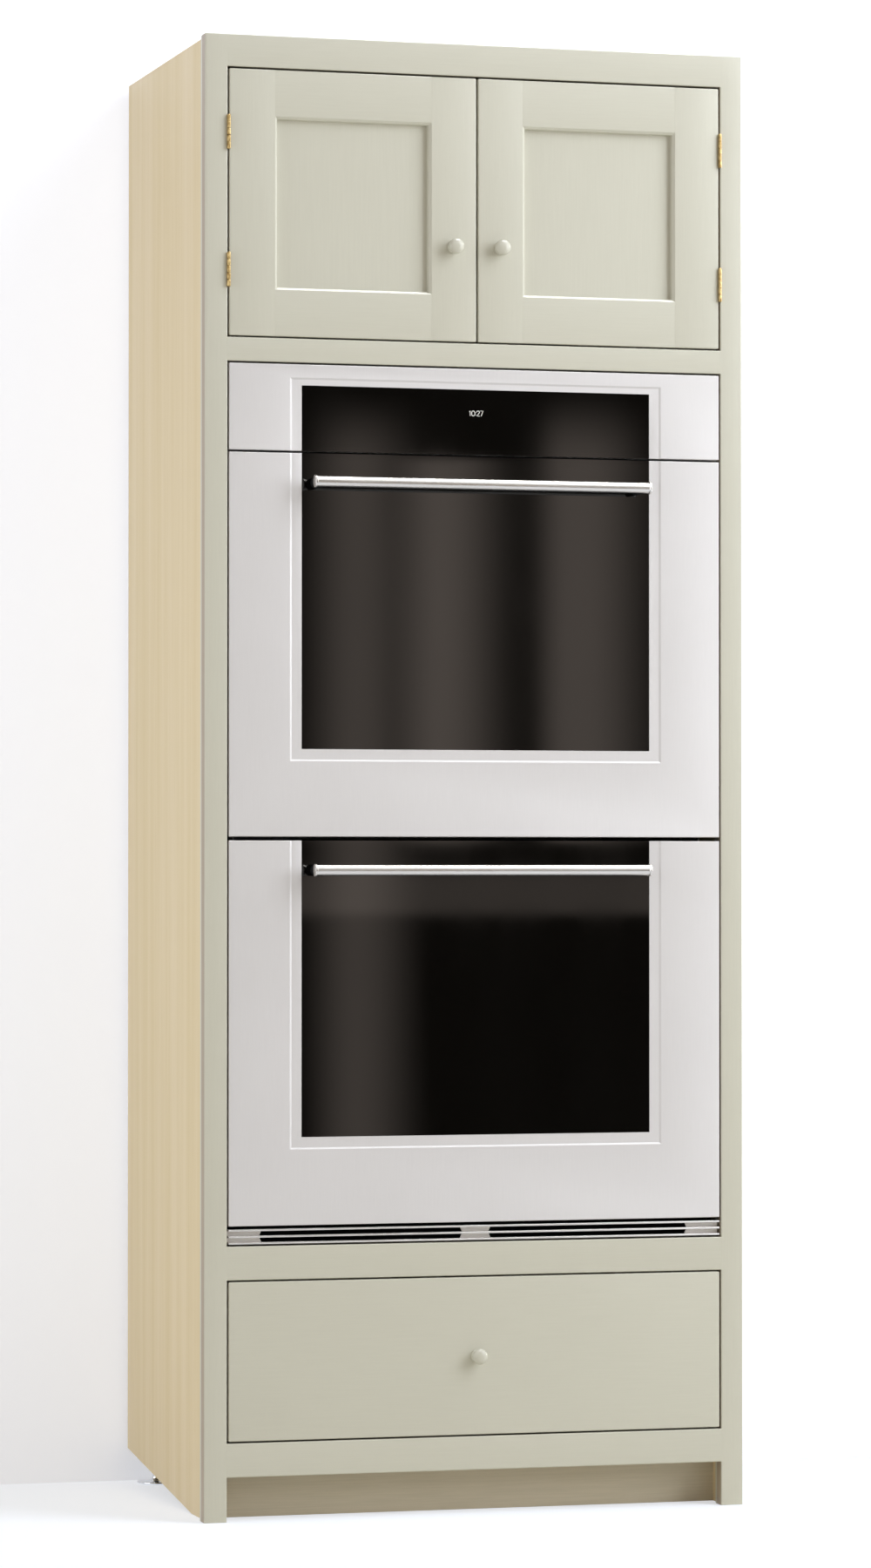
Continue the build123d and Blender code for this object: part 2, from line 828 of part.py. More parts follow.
def rack_guide(side, level):
    """Ledges for the racks on two upright wires against one wall of a cavity."""
    wall_x = side * cavity_half_width
    post_x = side * (cavity_half_width - guide_wire_radius)
    ledge_x = (wall_x, side * (cavity_half_width - guide_ledge))
    with BuildPart() as guide:
        for rack_up in rack_levels_up:
            add_box(ledge_x, guide_y, (level + rack_up - guide_sheet, level + rack_up))
        for post_y in guide_posts_y:
            low, high = above(level, guide_posts_up)
            add_rod(guide_wire_radius, (post_x, post_y, low), (post_x, post_y, high))
    return guide


def wire_rack(ledge_z):
    """A welded rack: four border bars with thinner wires from front to back."""
    bar_z = ledge_z + rack_frame_radius
    bar_x = rack_half_width - rack_frame_radius
    spacing = 2 * bar_x / (rack_wires + 1)
    with BuildPart() as rack:
        for end_y in rack_y:
            add_rod(rack_frame_radius, (-bar_x, end_y, bar_z), (bar_x, end_y, bar_z))
        for end_x in both(bar_x):
            add_rod(rack_frame_radius, (end_x, rack_y[0], bar_z), (end_x, rack_y[1], bar_z))
        for index in range(rack_wires):
            wire_x = spacing * (index + 1) - bar_x
            add_rod(rack_wire_radius, (wire_x, rack_y[0], bar_z), (wire_x, rack_y[1], bar_z))
    return rack


def grill_element(level):
    """A tube bent to and fro under the cavity's roof, both ends plugged into the back wall."""
    bar_z = level + cavity_up[1] - element_below_roof
    near_y, far_y = element_y
    spacing = 2 * element_half_width / (element_runs - 1)
    corners = [(-element_half_width, face_y + cavity_back_y, bar_z)]
    for index in range(element_runs):
        run_x = spacing * index - element_half_width
        run = [(run_x, face_y + far_y, bar_z), (run_x, face_y + near_y, bar_z)]
        corners += run if index % 2 == 0 else run[::-1]
    corners.append((element_half_width, face_y + cavity_back_y, bar_z))
    corners.pop(1)
    corners.pop(-2)
    with BuildPart() as element:
        with BuildLine() as path:
            FilletPolyline(*corners, radius=element_bend)
        with BuildSketch(Plane(origin=path.line @ 0, z_dir=path.line % 0)):
            Circle(element_radius)
        sweep()
    return element


def ring_element(level):
    """A heating ring round the fan, on two thinner legs from the back wall."""
    middle = Vector(0, face_y + ring_y, level + fan_up)
    leg_z = level + fan_up - (ring_radius**2 - ring_leg_x**2) ** 0.5
    with BuildPart() as ring:
        with Locations(Plane(origin=middle, x_dir=(0, 0, 1), z_dir=(0, 1, 0))):
            Torus(ring_radius, element_radius)
        for root_x in both(ring_leg_x):
            add_rod(ring_leg_radius, (root_x, ring_y, leg_z), (root_x, cavity_back_y, leg_z))
    return ring


def fan_cover(level):
    """A pressed cover over fan and ring, slotted like a wheel for the air."""
    middle_z = level + fan_up
    inner = cover_half_size - cover_sheet
    with BuildPart() as cover:
        outside_z = (middle_z - cover_half_size, middle_z + cover_half_size)
        add_box(both(cover_half_size), (cover_front_y, cavity_back_y), outside_z)
        inside_y = (cover_front_y + cover_sheet, cavity_back_y)
        inside_z = (middle_z - inner, middle_z + inner)
        add_box(both(inner), inside_y, inside_z, mode=Mode.SUBTRACT)
        front_middle = Vector(0, face_y + cover_front_y, middle_z)
        with Locations(Plane(origin=front_middle, x_dir=(1, 0, 0), z_dir=(0, 1, 0))):
            with PolarLocations(cover_slot_radius, cover_slots):
                Box(cover_slot_length, cover_slot_width, 2 * cover_sheet, mode=Mode.SUBTRACT)
    return cover


def fan_wheel(level):
    """A fan wheel with flat radial blades on a back plate, and the shaft it is pressed on."""
    middle_z = level + fan_up
    blade_depth = fan_y[1] - fan_y[0]
    with BuildPart() as wheel:
        plate_back_y = fan_y[1] + fan_plate
        add_rod(fan_radius, (0, fan_y[1], middle_z), (0, plate_back_y, middle_z))
        add_rod(fan_hub_radius, (0, fan_y[0], middle_z), (0, fan_y[1], middle_z))
        add_rod(shaft_radius, (0, fan_y[0], middle_z), (0, shaft_back_y, middle_z))
        front_middle = Vector(0, face_y + fan_y[0] + blade_depth / 2, middle_z)
        with Locations(Plane(origin=front_middle, x_dir=(1, 0, 0), z_dir=(0, 1, 0))):
            with PolarLocations(sum(fan_blade_span) / 2, fan_blades):
                Box(fan_blade_span[1] - fan_blade_span[0], fan_blade_thick, blade_depth)
    return wheel


def fan_motor(level):
    """A round motor on the back of the cavity, bored for the fan's shaft."""
    middle_z = level + fan_up
    with BuildPart() as motor:
        add_rod(motor_radius, (0, motor_y[0], middle_z), (0, motor_y[1], middle_z))
        bore_end = (0, shaft_back_y + fan_plate, middle_z)
        add_rod(shaft_bore_radius, (0, motor_y[0], middle_z), bore_end, mode=Mode.SUBTRACT)
    return motor


seals = []
pivots = []
guides = []
racks = []
elements = []
covers = []
motors = []
for word, level in oven_door_bottoms.items():
    save(oven_door_face(level), f"{word}_door_face")
    outer_pane_z = (level + window_up, level + oven_door_height)
    inner_pane_y = (liner_y[1] - liner_sheet - glass_thick, liner_y[1] - liner_sheet)
    inner_pane_z = (
        level + inner_window_up[0] - inner_pane_overlap,
        level + inner_window_up[1] + inner_pane_overlap,
    )
    panes = [
        board_piece(both(window_half_width), glass_y, outer_pane_z),
        board_piece(
            both(inner_window_half_width + inner_pane_overlap), inner_pane_y, inner_pane_z
        ),
    ]
    save_group(panes, f"{word}_door_glass")
    save(oven_door_liner(level), f"{word}_door_liner")
    save_group(oven_door_handle(level), f"{word}_door_handle")
    save(cavity_box(level), f"{word}_cavity")
    save(fan_wheel(level), f"{word}_fan")
    seals.append(door_seal(level))
    motors.append(fan_motor(level))
    covers.append(fan_cover(level))
    elements += [grill_element(level), ring_element(level)]
    racks += [wire_rack(level + rack_levels_up[index]) for index in racks_on_levels]
    for side in (-1, 1):
        pivots.append(door_pivot(side, level))
        guides.append(rack_guide(side, level))

save_group(seals, "door_seals")
save_group(pivots, "oven_hinges")
save_group(guides, "rack_guides")
save_group(racks, "oven_racks")
save_group(elements, "heating_elements")
save_group(covers, "fan_covers")
save_group(motors, "fan_motors")

# ---- Vent grille: three fins in front of a plate with two slots in each row ------------------

vent_pitch = (vent_z[1] - vent_z[0] - vent_bar) / 2
with BuildPart() as vent_grille:
    add_box(both(oven_half_width), (vent_plate_y, vent_plate_y + vent_plate), vent_z)
    for index in range(3):
        fin_low = vent_z[0] + index * vent_pitch
        add_box(both(oven_half_width), (0, vent_plate_y), (fin_low, fin_low + vent_bar))
    slot_near, slot_far = vent_slot_x
    slot_inner_z = (vent_z[0] + vent_pitch, vent_z[0] + vent_pitch + vent_bar)
    slot_outer_z = (vent_z[0] + vent_bar, vent_z[1] - vent_bar)
    with BuildSketch(front_plane(vent_plate_y)):
        for side in (-1, 1):
            for inner_z, outer_z in zip(slot_inner_z, slot_outer_z):
                with BuildLine():
                    Polyline(
                        (side * slot_near, inner_z),
                        (side * slot_far, inner_z),
                        (side * (slot_far - vent_slant), outer_z),
                        (side * (slot_near + vent_slant), outer_z),
                        close=True,
                    )
                make_face()
    extrude(amount=-vent_plate, mode=Mode.SUBTRACT)
save(vent_grille, "vent_grille")
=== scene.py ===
from math import radians

import bmesh
import bpy
import numpy as np
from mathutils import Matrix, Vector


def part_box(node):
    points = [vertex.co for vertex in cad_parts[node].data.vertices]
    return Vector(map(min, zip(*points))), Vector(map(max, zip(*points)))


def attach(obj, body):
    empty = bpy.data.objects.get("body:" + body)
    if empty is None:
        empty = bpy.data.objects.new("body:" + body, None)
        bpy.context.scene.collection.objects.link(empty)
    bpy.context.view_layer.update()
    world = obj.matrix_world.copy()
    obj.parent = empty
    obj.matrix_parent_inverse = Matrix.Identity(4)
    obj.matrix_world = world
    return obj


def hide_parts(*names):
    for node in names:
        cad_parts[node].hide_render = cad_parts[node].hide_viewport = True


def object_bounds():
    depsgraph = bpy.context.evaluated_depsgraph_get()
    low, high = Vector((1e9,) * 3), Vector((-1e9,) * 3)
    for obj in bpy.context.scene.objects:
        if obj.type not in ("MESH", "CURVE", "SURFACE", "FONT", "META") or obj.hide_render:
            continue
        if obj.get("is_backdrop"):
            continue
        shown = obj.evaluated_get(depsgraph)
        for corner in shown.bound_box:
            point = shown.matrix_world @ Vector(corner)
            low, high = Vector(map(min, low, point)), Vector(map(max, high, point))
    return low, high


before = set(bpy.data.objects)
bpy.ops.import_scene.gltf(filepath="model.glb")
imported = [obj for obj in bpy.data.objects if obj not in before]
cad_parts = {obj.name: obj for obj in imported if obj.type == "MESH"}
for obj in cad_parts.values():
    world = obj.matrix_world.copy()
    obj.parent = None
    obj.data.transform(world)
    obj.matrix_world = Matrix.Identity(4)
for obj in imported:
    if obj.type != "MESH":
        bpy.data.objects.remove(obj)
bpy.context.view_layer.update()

# Tall oven housing unit: an in-frame painted cabinet with a two-door cupboard, a built-in double
# oven and a deep drawer. Sizes are millimetres, with y counted back from the face of the front
# frame, and each mesh is turned to metres in the row frame when it is made.
mm = 0.001
face_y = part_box("stile_left")[0].y

# ==== Face frame ====
# Two full-height stiles with four rails between them, planed tulipwood. It is primed and then
# brushed with two coats of eggshell paint, so fine strokes run along each member.


def linear(code):
    """A colour written as sRGB hex, turned to linear red, green and blue, with alpha one."""
    parts = np.array([int(code[start:start + 2], 16) for start in (1, 3, 5)]) / 255
    straight = np.where(parts <= 0.04045, parts / 12.92, ((parts + 0.055) / 1.055) ** 2.4)
    return (*straight.tolist(), 1.0)


def add_node(tree, kind, sockets=None, **settings):
    """Adds one node. Settings are its own properties; sockets take numbers, colours or links."""
    made = tree.nodes.new("ShaderNode" + kind)
    for setting, value in settings.items():
        setattr(made, setting, value)
    for socket, value in (sockets or {}).items():
        if isinstance(value, bpy.types.NodeSocket):
            tree.links.new(value, made.inputs[socket])
        else:
            made.inputs[socket].default_value = value
    return made


def new_finish(name, sockets):
    """Starts a material; what is the same all over goes straight onto its shader's sockets."""
    finish = bpy.data.materials.new(name)
    finish.use_nodes = True
    shader = finish.node_tree.nodes["Principled BSDF"]
    for socket, value in sockets.items():
        shader.inputs[socket].default_value = value
    return finish, finish.node_tree, shader


def spots(tree, size, detail=3.0, low=0.36, high=0.64):
    """Factor from 0 to 1 out of noise whose spots measure size, in mm along x, y and z."""
    place = add_node(tree, "TexCoord")
    per_metre = [1 / (length * mm) for length in size]
    scaled = add_node(tree, "Mapping", {"Vector": place.outputs["Object"], "Scale": per_metre})
    cloud = add_node(
        tree, "TexNoise",
        {"Vector": scaled.outputs["Vector"], "Scale": 1.0, "Detail": detail, "Roughness": 0.55},
    )
    spread = {"Value": cloud.outputs["Fac"], "From Min": low, "From Max": high}
    return add_node(tree, "MapRange", spread).outputs["Result"]


def together(tree, first, second, share):
    """Two factors in one, with that share of the second."""
    return add_node(tree, "Mix", {0: share, 2: first, 3: second}, data_type="FLOAT").outputs[0]


def worked_out(tree, operation, *values):
    """Result of one sum on factors or numbers."""
    return add_node(tree, "Math", dict(enumerate(values)), operation=operation).outputs["Value"]


def apart(tree, kind):
    """X, Y and Z of the texture coordinate of that kind, as three factors."""
    place = add_node(tree, "TexCoord")
    return add_node(tree, "SeparateXYZ", {"Vector": place.outputs[kind]}).outputs


def vary(tree, shader, factor, tones, roughness, relief=0.0):
    """Colour, roughness and relief, in mm, all follow one factor from its low to its high end."""
    low, high = (linear(tone) for tone in tones)
    colour = add_node(tree, "MixRGB", {"Fac": factor, "Color1": low, "Color2": high})
    ends = {"Value": factor, "To Min": roughness[0], "To Max": roughness[1]}
    matt = add_node(tree, "MapRange", ends)
    tree.links.new(colour.outputs["Color"], shader.inputs["Base Color"])
    tree.links.new(matt.outputs["Result"], shader.inputs["Roughness"])
    if relief:
        bump = add_node(tree, "Bump", {"Height": factor, "Distance": relief * mm})
        tree.links.new(bump.outputs["Normal"], shader.inputs["Normal"])
    return colour.outputs["Color"]


def dress(finish, *names):
    """Gives a finish to nodes that keep their own mesh."""
    for name in names:
        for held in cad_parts[name].material_slots:
            held.material = finish


def span(node):
    """Lowest and highest corner of a node, in mm with y counted back from the face."""
    return [(np.array(corner) - (0, face_y, 0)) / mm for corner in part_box(node)]


# Bristle marks are about half a millimetre wide; they are drawn coarser so that they show.
stroke_width, stroke_length = 1.9, 70.0
upright_strokes = (stroke_width, stroke_width, stroke_length)
level_strokes = (stroke_length, stroke_width, stroke_width)
paint_tones = ("#D1CFC2", "#D4D2C5")
# Depths in mm behind the face over which the edge tone of painted shade fades in, holds and fades out.
shade_fades_in, shade_full_from, shade_full_to, shade_gone_from = 1.5, 2.3, 20.0, 20.8
paint_drift = 320.0


def painted_wood(name, strokes, rail_strokes=None, rail_span=None, edge=None, gloss=0.0,
                 tones=paint_tones):
    """Eggshell paint: low sheen, faint strokes and a slow drift of tone over a board.

    On a door frame the strokes turn where |x| lies within rail_span, between the stiles. Given an
    edge tone, the colour turns to it from just behind the front arris to just before the back one:
    painted shade, which darkens the gaps between parts."""
    finish, tree, shader = new_finish(name, {"IOR": 1.5})
    marks = spots(tree, strokes)
    if rail_strokes:
        away = worked_out(tree, "ABSOLUTE", apart(tree, "Object")["X"])
        middle, reach = sum(rail_span) / 2 * mm, (rail_span[1] - rail_span[0]) / 2 * mm
        on_rail = worked_out(tree, "COMPARE", away, middle, reach)
        marks = together(tree, marks, spots(tree, rail_strokes), on_rail)
    drift = spots(tree, (paint_drift, paint_drift, paint_drift), detail=2.0)
    marks = together(tree, marks, drift, 0.35)
    colour = vary(tree, shader, marks, tones, (0.33 - gloss, 0.38 - gloss), 0.012)
    # Painted shade: between those depths the colour turns to the darker edge tone.
    if edge:
        back, shaded = apart(tree, "Object")["Y"], 1.0
        for start, end in ((shade_fades_in, shade_full_from), (shade_gone_from, shade_full_to)):
            reach = {"From Min": face_y + start * mm, "From Max": face_y + end * mm}
            within = add_node(tree, "MapRange", {"Value": back, **reach}).outputs["Result"]
            shaded = worked_out(tree, "MULTIPLY", within, shaded)
        shade_tones = {"Fac": shaded, "Color1": colour, "Color2": linear(edge)}
        shaded_colour = add_node(tree, "MixRGB", shade_tones)
        tree.links.new(shaded_colour.outputs["Color"], shader.inputs["Base Color"])
    return finish


def rounded_rectangle(x, z, radius, per_corner=6):
    """Points round a rectangle whose corners are quarter circles, ending on the first again.

    The radius is one number, or four: for the high-high corner and on round to high-low."""
    radii = np.broadcast_to(radius, 4)
    quarter_turn = np.linspace(0, np.pi / 2, per_corner + 1)
    corners = ((x[1], z[1], -1, -1), (x[0], z[1], 1, -1), (x[0], z[0], 1, 1), (x[1], z[0], -1, 1))
    rounds = []
    for index, (corner_x, corner_z, inward_x, inward_z) in enumerate(corners):
        angle, reach = quarter_turn + index * np.pi / 2, radii[index]
        arc_x = corner_x + inward_x * reach + reach * np.cos(angle)
        rounds.append(np.column_stack((arc_x, corner_z + inward_z * reach + reach * np.sin(angle))))
    rounds.append(rounds[0][:1])
    return np.concatenate(rounds)


def lofted(stations, per_corner=6, axis=1):
    """Grid of rounded rectangles, one a station: two pairs across, corner radius and place
    along the axis. The pairs lie on the other two axes, in their order."""
    rows = [
        np.insert(rounded_rectangle(first, second, radius, per_corner), axis, place, axis=1)
        for first, second, radius, place in stations
    ]
    return np.array(rows)


def drawn_in(first, second, draw, corner, place):
    """Station whose two pairs are drawn in on all sides. A negative draw lets them grow."""
    return (first[0] + draw, first[1] - draw), (second[0] + draw, second[1] - draw), corner, place


def pole(first, second, place):
    """Station shrunk to the middle of both pairs, which closes a lofted grid there."""
    middle, other = sum(first) / 2, sum(second) / 2
    return (middle, middle), (other, other), 0.0, place


def arris(ease, steps=6):
    """Rise and inset of a rounded arris: ease (1 - cos a) and ease (1 - sin a), a to 90 degrees."""
    angle = np.linspace(0, np.pi / 2, steps)
    return ease * (1 - np.cos(angle)), ease * (1 - np.sin(angle))


def piece(name, grids, finish, body, stands_for=(), sharp=38):
    """One mesh from grids of points: quads between neighbours, with seams and poles merged.

    Faces turn outwards, edges sharper than that many degrees stay crisp, and the piece rides
    on its body, in place of the nodes that it stands for."""
    corners = np.concatenate([grid.reshape(-1, 3) for grid in grids])
    corners = (corners * mm + (0, face_y, 0)).tolist()
    quads, first = [], 0
    for grid in grids:
        rows, columns = grid.shape[:2]
        index = first + np.arange(rows * columns).reshape(rows, columns)
        around = (index[:-1, :-1], index[:-1, 1:], index[1:, 1:], index[1:, :-1])
        quads += np.stack(around, axis=-1).reshape(-1, 4).tolist()
        first += rows * columns
    mesh = bpy.data.meshes.new(name)
    mesh.from_pydata(corners, [], quads)
    shell = bmesh.new()
    shell.from_mesh(mesh)
    bmesh.ops.remove_doubles(shell, verts=shell.verts, dist=1e-6)
    bmesh.ops.dissolve_degenerate(shell, edges=shell.edges, dist=1e-7)
    bmesh.ops.recalc_face_normals(shell, faces=shell.faces)
    shell.to_mesh(mesh)
    shell.free()
    return placed(name, mesh, finish, body, stands_for, sharp)


def placed(name, mesh, finish, body, stands_for, sharp):
    """Smooths a mesh up to the sharp angle, gives it its finish and sets it on its body."""
    mesh.shade_smooth()
    mesh.set_sharp_from_angle(angle=radians(sharp))
    mesh.materials.clear()
    mesh.materials.append(finish)
    made = bpy.data.objects.new(name, mesh)
    bpy.context.scene.collection.objects.link(made)
    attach(made, body)
    if stands_for:
        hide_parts(*stands_for)
    return made


# One warm off-white with hardly any shine. On the rails and stiles the edges between the arrises
# turn to the darker, browner edge tones below: painted shade for the gaps round the doors and
# drawer and for the stiles' sides.
gap_shade_tone, side_shade_tone = "#948B7C", "#A89985"
upright_paint = painted_wood("painted_upright", upright_strokes)
rail_paint = painted_wood("painted_rail", level_strokes, edge=gap_shade_tone)
stile_paint = painted_wood("painted_stile", upright_strokes, edge=side_shade_tone)
# The plinth's tones are darker and yellower, partly painted shade under the bottom rail, and spread wider,
# so it is patchier.
plinth_paint_and_shade = painted_wood("painted_plinth", level_strokes, tones=("#CFC5AF", "#D9CEB9"))
dress(plinth_paint_and_shade, "plinth_board")

frame_round, back_arris = 1.7, 0.3
quarter = np.linspace(0, np.pi / 2, 6)
round_lift, round_draw = frame_round * np.sin(quarter), frame_round * (1 - np.cos(quarter))
rails = ("bottom_rail", "oven_rail", "cupboard_rail", "top_rail")
rail_heights = [(span(rail)[0][2], span(rail)[1][2]) for rail in rails]


def stile_station(low, high, side, z, inner_round, draw=0.0):
    """Section of a stile: its outer front corner is rounded, its inner one where free."""
    x = (low[0] + draw, high[0]) if side < 0 else (low[0], high[0] - draw)
    front = (frame_round - draw, inner_round) if side < 0 else (inner_round, frame_round - draw)
    return (x, (draw, high[1]), (back_arris, back_arris, *front), z)


for word, side in (("left", -1), ("right", 1)):
    low, high = span(f"stile_{word}")
    section = ((low[0], high[0]), (0.0, high[1]))
    stations = [pole(*section, 0.0)]
    free_from, round_from = 0.0, high[2] - frame_round
    for rail_low, rail_high in rail_heights:
        covered_to = min(rail_high, round_from)
        for z, inner_round in ((free_from, frame_round), (rail_low, frame_round), (rail_low, 0.0),
                               (covered_to, 0.0)):
            stations.append(stile_station(low, high, side, z, inner_round))
        free_from = rail_high
    for lift, draw in zip(round_lift, round_draw):
        stations.append(stile_station(low, high, side, round_from + lift, 0.0, draw))
    stations.append(pole(*section, high[2]))
    piece(f"planed_stile_{word}", [lofted(stations, 5, axis=2)], stile_paint,
          "cabinet", [f"stile_{word}"])
for rail in rails:
    low, high = span(rail)
    section = ((low[2], high[2]), (0.0, high[1]))
    radii = (back_arris, back_arris, frame_round, frame_round)
    stations = [(*section, radii, end) for end in (low[0], high[0])]
    stations = [pole(*section, low[0]), *stations, pole(*section, high[0])]
    turned_over = lofted(stations, 5, axis=2)
    piece(f"planed_{rail}", [turned_over[..., [2, 1, 0]]], rail_paint, "cabinet",
          [rail])

# ==== Carcass boards ====
# Maple-faced chipboard, lacquered: pale cream with soft tan figure and short fine pores. The
# grain stands upright on the sides and backs and runs across on every level board.

maple_tones = ("#E6D3A9", "#EFDDBA")
figure_width, figure_length = 34.0, 1500.0
pore_width, pore_length = 1.8, 75.0


def wood_figure(tree, grain):
    """Factor for figure and pores, both long along the grain axis: 0 for x, 1 for y, 2 for z."""
    figure, pores = [figure_width] * 3, [pore_width] * 3
    figure[grain], pores[grain] = figure_length, pore_length
    return together(tree, spots(tree, figure, 4.0), spots(tree, pores, 4.0), 0.3)


def maple_board(name, grain, tones=maple_tones, crossing=None):
    """Lacquered maple. Faces that look along the grain axis may belong to boards that cross it,
    and then show the grain of the crossing axis."""
    finish, tree, shader = new_finish(name, {"IOR": 1.48})
    grown = wood_figure(tree, grain)
    if crossing is not None:
        away = worked_out(tree, "ABSOLUTE", apart(tree, "Normal")[grain])
        crossed = worked_out(tree, "GREATER_THAN", away, 0.5)
        grown = together(tree, grown, wood_figure(tree, crossing), crossed)
    vary(tree, shader, grown, tones, (0.5, 0.4), 0.02)
    return finish


upright_maple = maple_board("maple_upright", 2)
level_maple = maple_board("maple_level", 0)
dress(upright_maple, "side_panel_left", "side_panel_right", "back_panels")
dress(level_maple, "top_panel", "cupboard_floor", "oven_deck", "drawer_floor", "fixing_rail",
      "cupboard_shelf")

# ==== Shelf pins ====
# Four nickel-plated pins pushed into the rows of holes in the sides, each with a collar that
# stops it at the board and a rounded nose under the shelf.


def turned(along, radius, start, axis, around=48):
    """Grid of rings about a line: ring i lies along[i] from start on the axis, at radius[i].

    The radius may also differ round each ring, as one row of around + 1 numbers a ring."""
    angle = np.linspace(0, 2 * np.pi, around + 1)
    axis = np.array(axis, float)
    across = np.cross(axis, (0, 0, 1) if abs(axis[2]) < 0.5 else (0, 1, 0))
    spokes = np.cos(angle)[:, None] * across + np.sin(angle)[:, None] * np.cross(axis, across)
    along = np.asarray(along, float)
    reach = np.asarray(radius, float).reshape(len(along), -1)
    reach = np.broadcast_to(reach, (len(along), around + 1))
    centres = np.asarray(start, float) + along[:, None] * axis
    return centres[:, None] + reach[..., None] * spokes


def bright_metal(name, tones, roughness, spot, relief=0.004):
    """Polished or plated metal whose sheen clouds over spots of that size in mm."""
    finish, tree, shader = new_finish(name, {"Metallic": 1.0})
    cloud = spots(tree, (spot, spot, spot), 4.0)
    vary(tree, shader, cloud, tones, roughness, relief)
    return finish


# A soft, slightly yellow mirror.
nickel = bright_metal("plated_nickel", ("#C9C8C4", "#DCDBD7"), (0.2, 0.3), 6.0)
pin_low, pin_high = span("shelf_pins")
peg_radius, collar_radius, collar_thick, nose, peg_reach = 2.5, 4.0, 1.0, 1.2, 8.0
pin_rows_y = (pin_low[1] + peg_radius, pin_high[1] - peg_radius)
pin_z = (pin_low[2] + pin_high[2]) / 2
sunk = pin_high[0] - span("side_panel_right")[0][0]
collar_end, tip_at = sunk + collar_thick, sunk + peg_reach
along = [0, 0, sunk, sunk, collar_end, collar_end]
along += [*(tip_at - nose + nose * np.sin(quarter)), tip_at]
radius = [0, peg_radius, peg_radius, collar_radius, collar_radius, peg_radius]
radius += [*(peg_radius - nose + nose * np.cos(quarter)), 0]
pin_grids = [
    turned(along, radius, (side * pin_high[0], row_y, pin_z), (-side, 0, 0), 24)
    for side in (-1, 1) for row_y in pin_rows_y
]
piece("turned_shelf_pins", pin_grids, nickel, "cabinet", ["shelf_pins"])

# ==== Rear levelling feet ====
# A chromed steel disc on a screwed stem turns in a black nylon socket under the drawer floor.
# The socket is moulded with ribs below its flange.

# Cool and nearly a mirror.
foot_chrome = bright_metal("chromed_steel", ("#D8DADC", "#EBECED"), (0.07, 0.13), 14.0)
thread_pitch, thread_depth, thread_start = 2.5, 0.5, 16.0
disc_thick, rim_round, stem_radius, stem_root = 3.6, 1.8, 6.0, 7.5
# Over the hub of the disc the height follows one power and the radius another.
hub_high, hub_rise, hub_thinning = 8.0, 2.6, 2.2
rib_count, rib_height, socket_wall, skirt, skirt_in, skirt_ease = 8, 1.2, 15.0, 3.0, 0.8, 0.5
bore, bore_stop, flange_thick, flange_ease = 6.05, 1.5, 5.0, 0.6


def matt_black(name, tone, lighter, dull=0.0, shine=0.5):
    """Black with an even, low sheen and slight grain, of moulded nylon or of stove paint on
    steel. Dull adds to the roughness, and shine is the specular level."""
    finish, tree, shader = new_finish(name, {"IOR": 1.53, "Specular IOR Level": shine})
    grain = together(tree, spots(tree, (1.2, 1.2, 1.2)), spots(tree, (25, 25, 25)), 0.4)
    vary(tree, shader, grain, (tone, lighter), (0.62 + dull, 0.48 + dull), 0.03)
    return finish


# Charcoal with a soft sheen, as plastic has.
black_nylon = matt_black("black_nylon", "#17171A", "#232326")
socket_grids = []
for word in ("left", "right"):
    low, high = span(f"{word}_foot")
    middle = (low + high) / 2
    base = (middle[0], middle[1], 0)
    rim, flare = np.linspace(-np.pi / 2, np.pi / 2, 9), np.linspace(0, 1, 12)
    rim_radius = high[0] - middle[0] - rim_round
    along = [0.0, *(rim_round + rim_round * np.sin(rim)), *(disc_thick + hub_high * flare ** hub_rise)]
    out = [0.0, *(rim_radius + rim_round * np.cos(rim))]
    out += [*(stem_radius + (rim_radius - stem_radius) * (1 - flare) ** hub_thinning), 0.0]
    disc = turned([*along, along[-1]], out, base, (0, 0, 1))
    along = np.arange(disc_thick + stem_root, high[2], thread_pitch / 8)
    twist = 2 * np.pi * along[:, None] / thread_pitch - np.linspace(0, 2 * np.pi, 33)
    cut = np.clip((along[:, None] - thread_start) / thread_pitch, 0, 1)
    threaded = stem_radius - thread_depth * cut * (0.5 + 0.5 * np.cos(twist))
    out = np.vstack((np.zeros(33), threaded, np.zeros(33)))
    stem = turned([along[0], *along, along[-1]], out, base, (0, 0, 1), 32)
    piece(f"chromed_{word}_foot", [disc, stem], foot_chrome,
          f"rear_{word}_foot", [f"{word}_foot"])

    low, high = span("leg_sockets")
    ribbed = np.abs(np.cos(np.linspace(0, 2 * np.pi, 97) * rib_count / 2))
    ribs = socket_wall + rib_height * ribbed ** 12
    flange_out, skirt_out = high[0] - abs(middle[0]), socket_wall - skirt_in
    shoulder = high[2] - flange_thick
    steps = [
        (high[2] - bore_stop, 0), (high[2] - bore_stop, bore), (low[2], bore),
        (low[2], skirt_out - skirt_ease), (low[2] + skirt_ease, skirt_out), (low[2] + skirt, skirt_out),
        (low[2] + skirt, ribs), (shoulder, ribs), (shoulder, flange_out - flange_ease),
        (shoulder + flange_ease, flange_out), (high[2], flange_out), (high[2], 0),
    ]
    heights, outs = zip(*steps)
    rings = np.array([out * np.ones(97) for out in outs])
    socket_grids.append(turned(heights, rings, base, (0, 0, 1), 96))
piece("ribbed_leg_sockets", socket_grids, black_nylon, "cabinet", ["leg_sockets"])

# ==== Cupboard doors ====
# Each door is two stiles and two rails round a flat panel, with a bevelled moulding planted in
# front of the panel, all painted as the face frame is.

left_door_low = span("left_door_frame")[0]
panel_low, panel_high = span("right_door_panel")
framed_paint = painted_wood(
    "painted_door_frame", upright_strokes, level_strokes, (panel_low[0], panel_high[0])
)
door_round, joint_arris, door_back_arris = 1.8, 0.12, 0.8


